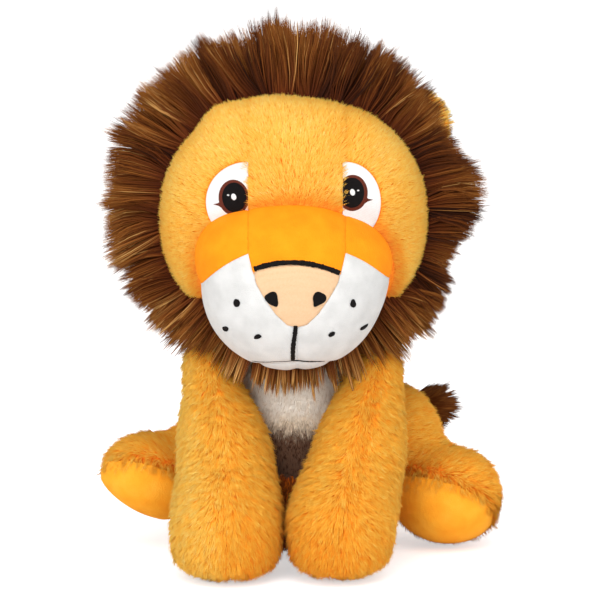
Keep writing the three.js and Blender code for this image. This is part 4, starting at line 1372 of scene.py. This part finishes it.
def stitch_line(name, route, tree, thread, width, height, wobble, extra=False):
    """A line of satin stitches along a route in X and Z, with slightly uneven edges."""
    rng = np.random.default_rng(len(name))
    bm = bmesh.new()
    last = len(route) - 1
    rings = []
    for i, (x, z) in enumerate(route):
        (xa, za), (xb, zb) = route[max(i - 1, 0)], route[min(i + 1, last)]
        long = math.hypot(xb - xa, zb - za)
        nx, nz = -(zb - za) / long, (xb - xa) / long
        half = width / 2 * (1 + rng.uniform(-wobble, wobble)) * (0.8 if i in (0, last) else 1)
        ring = []
        for turn in range(8):
            off, up = half * math.cos(TURN * turn / 8), height * math.sin(TURN * turn / 8)
            ring.append(bm.verts.new(seen_from_front(tree, x + nx * off, z + nz * off, 0.15 + up)))
        rings.append(ring)
    piece(name, skinned(name, bm, rings), "head", *thread, extra=extra)


def ragged(outline, middle, amount, seed):
    """An outline whose points lie unevenly far from its middle, as hand-guided stitching leaves them."""
    rng = np.random.default_rng(seed)
    turns = np.linspace(0, TURN, len(outline), endpoint=False)
    waves = [rng.normal(0, 0.6 / k) * np.sin(k * turns + rng.uniform(0, 6.3)) for k in range(2, 8)]
    swell = 1 + amount * sum(waves)
    mx, mz = middle
    return [(mx + (x - mx) * far, mz + (z - mz) * far) for (x, z), far in zip(outline, swell)]


def build_nose_and_mouth_stitches(tree):
    arc = [(x, nose_top_z(x) + 1.1) for x in np.linspace(-NOSE_HALF, NOSE_HALF, 89)]
    stitch_line("nose_top_stitch", arc, tree, ("black_thread", "black_arc_satin"), 2.3, 0.9, 0.2)
    heights = np.linspace(NOSE_TIP_Z + 0.6, MOUTH_Z + 1.2, 44)
    line = [(-0.8 - 1.3 * (NOSE_TIP_Z - z) / 20 + 0.2 * math.sin(z / 3), z) for z in heights]
    stitch_line("mouth_stitch", line, tree, BLACK, 2.0, 0.9, 0.16)


def build_muzzle_stitches(side, tree):
    """One side's end of the mouth, nostril and whisker dots."""
    way = SIDES[side]
    reach, width = {"left": (14.5, 0.75), "right": (18, 0.4)}[side]
    bend = [(t, MOUTH_CURVE * t * t - 0.0004 * t**3) for t in np.linspace(0, reach, 22)]
    arm = [(-2.0 + way * t, MOUTH_Z + 1.0 - down) for t, down in bend]
    stitch_line(f"mouth_arm_{side}", arm, tree, BLACK, width, 0.4, 0.3, extra=True)
    middle = (way * 10.2 - 0.6, NOSE_TIP_Z + 12.6)
    outline = ellipse_points(*middle, (2.7, 3.6), 36, way * math.radians(-36), 0.4)
    patch(f"nostril_{side}", ragged(outline, middle, 0.12, 5 + way), middle, tree, BLACK, 0.1, THREAD)
    for i, (x, z, half, tilt) in enumerate(WHISKERS[side]):
        middle = (way * x, z)
        outline = ragged(ellipse_points(*middle, half, 20, way * tilt), middle, 0.2, 20 + i + way)
        patch(f"whisker_dot_{side}_{i + 1}", outline, middle, tree, BLACK, 0.0, 0.7)


def build_eye(side, tree):
    """An eye's stitched layers, cut straight where they meet the gusset's seam."""
    way, inner, z = SIDES[side], EYE_INNER[side], IRIS_Z[side]
    x = way * IRIS_X[side]

    def cut(outline, edge):
        return [(way * max(abs(a) if a * way > 0 else 0, edge), b) for a, b in outline]

    outline = cut(ellipse_points(way * GUSSET, WHITE_Z, EYE_HALF[side], 64), inner)
    patch(f"eye_white_{side}", outline, (way * (GUSSET + 7), WHITE_Z), tree, WHITE, 0.6, 0.6, -0.4)
    outline = cut(ellipse_points(x, z, IRIS_HALF, 48), inner + 0.1)
    patch(f"iris_{side}", outline, (way * (IRIS_X[side] + 0.5), z), tree, BROWN_THREAD, 1.0, 0.45, 0.8)
    pupil_half = (IRIS_HALF[0] - IRIS_RIM, IRIS_HALF[1] - IRIS_RIM)
    outline = cut(ellipse_points(x - way * 0.2, z + 0.2, pupil_half, 40), inner + 0.15)
    patch(f"pupil_{side}", outline, (x, z), tree, BLACK, 1.3, 0.4, 1.1)
    middle = (x, z + 0.6)
    patch(f"glint_{side}", ellipse_points(*middle, (1.15, 1.5), 16, 0.3), middle, tree, WHITE, 1.6, 0.4, 1.4)
    middle = (x + 2.5 * way, z + 1.3)
    outline = ellipse_points(*middle, (0.55, 0.35), 10)
    patch(f"small_glint_{side}", outline, middle, tree, WHITE, 1.6, 0.35, 1.4, extra=True)
    edge = IRIS_X[side] + 5.4
    corner = [(0, -1.0), (1.6, -2.6), (3.9, -3.3), (1.4, -3.9), (-0.4, -5.0)]
    outline = [(way * (edge + a), z + b) for a, b in corner]
    middle = (way * (edge + 1), z - 3.1)
    patch(f"eye_corner_{side}", outline, middle, tree, BROWN_THREAD, 1.0, 0.35, 0.8, extra=True)


def build_face_details():
    tree = muzzle.tree()
    build_nose_and_mouth_stitches(tree)
    for side in SIDES:
        build_muzzle_stitches(side, tree)
    tree = head.tree()
    for side in SIDES:
        build_eye(side, tree)


# Ears

def build_ears():
    rng = np.random.default_rng(31)

    def in_head(p):
        return outside(p, HEAD, HEAD_HALF - 2)

    for side in SIDES:
        form, seam, body = ears[side], EARS[side][1], f"ear_{side}"
        parts = shared_out(form, {
            "root": in_head,
            f"ear_front_{side}": most(lambda p: p[:, 1] - seam, opposite(in_head)),
            f"ear_back_{side}": most(lambda p: seam - p[:, 1], opposite(in_head)),
        })
        for name in (f"ear_front_{side}", f"ear_back_{side}"):
            panel(name, form, parts[name], body, "orange_plush", "orange_backing", EAR_FABRIC)
            roots, normals = scattered(rng, form, parts[name], 2.0)
            ways, bends = combed(rng, roots, normals, (roots - HEAD) * (1, 0.2, 1), 4.0, 0.7)
            pile(f"{name}_pile", body, EAR_FUR, rng, roots, ways, bends, 0.8, normals)


# Forelegs

def foreleg_density(p):
    """Thin fur on the ground and behind, where nobody looks."""
    return np.where(p[:, 2] < 2.0, 0.3, np.where(p[:, 1] > -20, 0.5, 1.0))


def build_foreleg_fur(rng, side, name, form, chosen, seam, out):
    """The fur of one panel, combed to its side and swirling round the paw. out is 1 for the outer panel."""
    way, paw = SIDES[side], np.array(FORELEGS[side][2][0])
    roots, normals = scattered(rng, form, chosen, 4.0, foreleg_density)
    from_seam = seam(roots)
    low = rising(roots[:, 2], 42, 12)
    across = way * out * 0.7 if side == "left" else way * (0.3 * out + 0.15)
    comb = np.array([[across, 0, -0.8]]) * np.ones((len(roots), 1))
    comb[:, 0] *= 1 - 0.9 * hump(from_seam, 0, 9)
    swirl = unit(roots - (paw + (0, -10, 8)))
    comb = comb * (1 - 0.7 * low[:, None]) + swirl * low[:, None]
    ways, bends = combed(rng, roots, normals, comb, 5.9 if out < 0 else 5.1, 0.77)
    from_middle = out * np.clip(np.abs(from_seam) / 9, 0, 1)
    # Painted light and shade: the lion's right leg, on the key lamp's side, is painted lighter than its left,
    # lighter still over its outer panel and darker over its inner one; both legs are painted darker low down
    # towards the paw as shade, most on the inner panels
    tone = 0.49 if side == "left" else 0.57 + 0.1 * from_middle
    tone = tone - 0.1 * hump(from_seam, 0, 3.2) * rng.random(len(roots)) - (0.1 - 0.05 * from_middle) * low
    pile(f"{name}_pile", f"foreleg_{side}", LEG_FUR, rng, roots, ways, bends, tone, normals)


def build_forelegs():
    rng = np.random.default_rng(41)
    for side, way in SIDES.items():
        form, seam, body = forelegs[side], leg_seam(side), f"foreleg_{side}"
        groove(form, seam, 0.4, 2.4)
        outer, inner = f"foreleg_outer_{side}", f"foreleg_inner_{side}"
        outer_side = np.sign(seam(np.array([[way * 99.0, -40, 50]])))[0]
        fields = {outer: lambda p: -outer_side * seam(p), inner: lambda p: outer_side * seam(p)}
        parts = shared_out(form, fields)
        for name, out in ((outer, 1), (inner, -1)):
            panel(name, form, parts[name], body, "orange_plush", "orange_backing")
            build_foreleg_fur(rng, side, name, form, parts[name], seam, out)
        stuffed(f"foreleg_stuffing_{side}", inside_form(form), body, "fibre_fill", "fibre_fill")


# Hind legs

def build_hindleg_fur(rng, side, name, form, chosen, sole):
    """The fur of one panel. It hangs over the sole's upper edge and leans over the leg's root."""
    way, paw, sole_z = SIDES[side], np.array(HINDLEGS[side][2][0]), SOLE[side][1]

    def density(p):
        on_ground = (p[:, 2] < 8) & (p[:, 1] > paw[1] - 8)
        return np.where(on_ground, 0.4, np.where(p[:, 1] > 26, 0.65, 1.0))

    roots, normals = scattered(rng, form, chosen, 3.6, density)
    x, y, z = roots.T
    high = rising(z, sole_z, sole_z + 12)[:, None]
    comb = (1 - high) * np.array([[way * 0.4, -0.9, -0.5]]) + high * np.array([[way * 0.9, 0.35, 0.1]])
    rim = hump(sole(roots), 0, 4.5) * (y < paw[1] - 2)
    over = rim * rising(z, sole_z + 2, sole_z + 10)
    outer = rim * rising(way * (x - paw[0]), 6, 16) * (1.0 if side == "left" else 0.35)
    lie = 0.76 - 0.45 * np.maximum(outer, 0.5 * over)
    ways, bends = combed(rng, roots, normals, comb, 5.4 + 1.4 * rim, lie)
    reach = 7.5 + 3 * np.sin(x / 2.6) * np.sin(x / 4.1 + 1)
    hanging = np.array([0.0, -0.72, -0.69]) * reach[:, None] + normals * 3.6
    ways += over[:, None] * (hanging - ways)
    bends += over[:, None] * (normals * 2.6 - bends)
    inward = hump(way * x, HIP_X, 5)[:, None]
    ways += inward * (unit(normals * 0.7 - [way * 0.7, 0, 0]) * 8 - ways)
    # Painted shade and light: the hind legs' fur is painted a deeper orange than the forelegs' and darker
    # again towards the back, as shade; it is painted lighter higher up and where it hangs over the sole, as
    # light
    tone = 0.42 + 0.12 * over + 0.003 * (z - 30) - 0.1 * rim * rng.random(len(roots)) - 0.06 * (y > 12)
    pile(f"{name}_pile", f"hindleg_{side}", LEG_FUR, rng, roots, ways, bends, tone, normals)


def build_hindleg(rng, side):
    form, body = hindlegs[side], f"hindleg_{side}"
    paw = HINDLEGS[side][2][0]

    def sole(p):
        return outside_ellipse(p, *SOLE[side]) + np.maximum(p[:, 1] - paw[1] + 5, 0)

    groove(form, sole, 0.8, 2.4)
    upper, under = f"hindleg_upper_{side}", f"hindleg_under_{side}"
    parts = shared_out(form, {
        f"sole_{side}": sole,
        upper: most(opposite(sole), lambda p: paw[2] - p[:, 2]),
        under: most(opposite(sole), lambda p: p[:, 2] - paw[2]),
    })
    panel(f"sole_{side}", form, parts[f"sole_{side}"], body, "orange_velboa", "sole_velboa", VELBOA, lift=2.4)
    for name in (upper, under):
        panel(name, form, parts[name], body, "orange_plush", "orange_backing")
        build_hindleg_fur(rng, side, name, form, parts[name], sole)
    stuffed(f"hindleg_stuffing_{side}", inside_form(form), body, "fibre_fill", "fibre_fill")


def build_hindlegs():
    rng = np.random.default_rng(53)
    for side in SIDES:
        build_hindleg(rng, side)


# Torso

def torso_fields():
    def in_legs(p):
        return np.min([outside_limb(p, FORELEGS[side]) for side in SIDES], axis=0) + 9

    def above_seat(p):
        return SEAT_TOP - p[:, 2]

    clear = opposite(in_legs)
    fields = {
        "in_legs": in_legs,
        "seat_panel": most(opposite(above_seat), clear),
        "bib": most(bib_field, clear, above_seat),
    }
    for side, way in SIDES.items():
        fields[f"body_panel_{side}"] = most(past_middle(way), opposite(bib_field), above_seat, clear)
    return fields


def build_torso_fur(rng, name, chosen, fur, per_mm2, length):
    def clear_of_forelegs(p):
        return np.all([outside_limb(p, FORELEGS[side]) > -3 for side in SIDES], axis=0)

    roots, normals = scattered(rng, torso, chosen, per_mm2, clear_of_forelegs)
    x, y, z = roots.T
    comb = np.array([[0, 0, -1.0]]) + 0.25 * (roots - [0, 14, 40]) / 40 * (1, 1, 0)
    ways, bends = combed(rng, roots, normals, comb, length, 0.75)
    # Deep shade between the forelegs and at the bib's foot
    if name == "bib":
        tone = np.clip((z - 58) / 14, -0.5, 0.9)
    else:
        tone = 0.44 - 0.5 * ((np.abs(x + 4) < 14) & (y < -6) & (z < 50))
    pile(f"{name}_pile", "torso", fur, rng, roots, ways, bends, tone, normals)


def build_torso():
    rng = np.random.default_rng(61)
    groove(torso, lambda p: np.where(p[:, 1] > 0, p[:, 0], 99), 0.8, 2.4)
    parts = shared_out(torso, torso_fields())
    for name, fur, backing, per_mm2, length in [
        ("seat_panel", BODY_FUR, "orange_backing", 0.8, 5.0),
        ("bib", BIB_FUR, "cream_backing", 4.4, 2.6),
        ("body_panel_left", BODY_FUR, "orange_backing", 2.2, 5.6),
        ("body_panel_right", BODY_FUR, "orange_backing", 2.2, 5.6),
    ]:
        panel(name, torso, parts[name], "torso", fur.slot, backing)
        build_torso_fur(rng, name, parts[name], fur, per_mm2, length)
    stuffed("bean_bag", inside_form(torso), "torso", "bean_cloth", "bean_cloth", BEANS_TOP - 0.15, 1)
    stuffed("body_stuffing", inside_form(torso), "torso", "fibre_fill", "fibre_fill", BEANS_TOP + 0.15, -1)


def build_neck_stitch():
    """The ring of thread that sews the head to the neck dome."""
    away, tilt, thread_r = 25.1, math.radians(62), 0.9
    bm = bmesh.new()
    made = bmesh.ops.create_circle(bm, segments=8, radius=thread_r)
    bmesh.ops.rotate(bm, verts=made["verts"], cent=(0, 0, 0), matrix=Matrix.Rotation(TURN / 4, 3, "X"))
    bmesh.ops.translate(bm, verts=made["verts"], vec=(away * math.sin(tilt), 0, 0))
    axis = {"axis": (0, 0, 1), "cent": (0, 0, 0)}
    bmesh.ops.spin(bm, geom=bm.verts[:] + bm.edges[:], **axis, steps=90, angle=TURN, use_merge=True)
    bmesh.ops.remove_doubles(bm, verts=bm.verts[:], dist=0.01)
    bmesh.ops.translate(bm, verts=bm.verts[:], vec=(0, NECK[1], NECK[2] + away * math.cos(tilt)))
    into_metres(bm)
    bmesh.ops.recalc_face_normals(bm, faces=bm.faces[:])
    piece("neck_stitch", mesh_of("neck_stitch", bm), "neck", "orange_plush", "orange_thread")


# Tail

def tuft_core(heading):
    """The backing that carries the tail's tuft."""
    bm = bmesh.new()
    bmesh.ops.create_icosphere(bm, subdivisions=4, radius=1)
    turn = Vector((0, 0, 1)).rotation_difference(Vector(heading)).to_matrix()
    for v in bm.verts:
        v.co = Vector(TUFT - heading * 5) + turn @ Vector((v.co.x * 5, v.co.y * 5, v.co.z * 9))
    return form_of(finished(bm))


def build_tail():
    rng = np.random.default_rng(71)
    core = limb_form([(at, radius - 2.2) for at, radius in TAIL], 1.6)
    form = form_of(finished(core, ("SMOOTH", {"iterations": 2})))
    stuffed("tail", bm_of_form(form.points, form.triangles), "tail", "orange_plush", "orange_backing")
    roots, normals = scattered(rng, form, np.arange(len(form.triangles)), 2.2)
    ways, bends = combed(rng, roots, normals, np.array([[0.8, 0.1, 0.4]]) + 0 * roots, 6.0, 0.62)
    pile("tail_pile", "tail", TAIL_FUR, rng, roots, ways, bends, 0.58, normals)

    heading = unit(np.array([TUFT - np.array(TAIL[2][0])]))[0]
    core = tuft_core(heading)
    stuffed("tail_tuft", bm_of_form(core.points, core.triangles), "tail", "brown_fur", "brown_backing")
    roots, normals = scattered(rng, core, np.arange(len(core.triangles)), 7.0)
    ways = unit(heading * 0.4 + np.array([0.9, -0.1, -0.05]) + normals * 0.75)
    ways = ways * (11 + 3 * rng.random(len(roots)))[:, None]
    pile("tail_tuft_pile", "tail", TUFT_FUR, rng, roots, ways, 0 * ways, 0.4, normals)


# Stage

def build_floor():
    """A white floor that glows where it is seen directly, so that it looks as white as the backdrop."""
    backdrop = Finish("white_backdrop", 1.0)
    backdrop.paint(colour(238, 238, 238))
    backdrop.feed(backdrop.shader.inputs["Emission Color"], (1, 1, 1, 1))
    glow = backdrop.math("MULTIPLY", backdrop.seen_directly(), 0.52)
    backdrop.feed(backdrop.shader.inputs["Emission Strength"], glow)
    bm = bmesh.new()
    bmesh.ops.create_grid(bm, x_segments=1, y_segments=1, size=3)
    mesh = mesh_of("floor", bm)
    mesh.materials.append(backdrop.material)
    floor = bpy.data.objects.new("floor", mesh)
    bpy.context.scene.collection.objects.link(floor)


def build_world():
    """A white studio all round, which lights the lion a little less brightly than it is seen."""
    world = bpy.data.worlds.new("studio")
    world.use_nodes = True
    bpy.context.scene.world = world
    studio = Nodes(world.node_tree)
    background = studio.tree.nodes["Background"]
    strength = studio.add("MapRange", Value=studio.seen_directly(), To_Min=0.8, To_Max=1.0)
    studio.feed(background.inputs["Strength"], strength.outputs[0])
    studio.feed(background.inputs["Color"], (1, 1, 1, 1))


def put_in(name, data, at, aim):
    """Adds a lamp or camera that looks from at to aim."""
    ob = bpy.data.objects.new(name, data)
    ob.location = at
    ob.rotation_euler = (Vector(aim) - Vector(at)).to_track_quat("-Z", "Y").to_euler()
    bpy.context.scene.collection.objects.link(ob)
    return ob


def build_lamps():
    for name, at, aim, size, watts in [
        ("key", (-0.58, -1.17, 0.52), (0, 0, 0.12), 0.8, 7.0),
        ("fill", (0.75, -1.0, 0.3), (0, 0, 0.12), 0.9, 3.7),
        ("top", (0, -0.6, 1.1), (0, 0, 0.08), 0.9, 6),
    ]:
        light = bpy.data.lights.new(name, "AREA")
        light.size, light.energy = size, watts
        put_in(name, light, at, aim)


def build_camera():
    """The photograph's camera, 3 metres off and 12 degrees above level."""
    view = bpy.data.cameras.new("camera")
    view.lens, view.sensor_width = 396, 36
    view.clip_start, view.clip_end = 0.05, 20
    raised = math.radians(12)
    aim = Vector((1.36, 0, 115.6)) * MM
    at = aim + 3 * Vector((0, -math.cos(raised), math.sin(raised)))
    bpy.context.scene.camera = put_in("camera", view, at, aim)
    bpy.context.scene.view_settings.view_transform = "Standard"


build_floor()
build_world()
build_lamps()
build_camera()
build_mane(build_head())
build_muzzle()
build_face_details()
build_ears()
build_forelegs()
build_hindlegs()
build_torso()
build_neck_stitch()
build_tail()
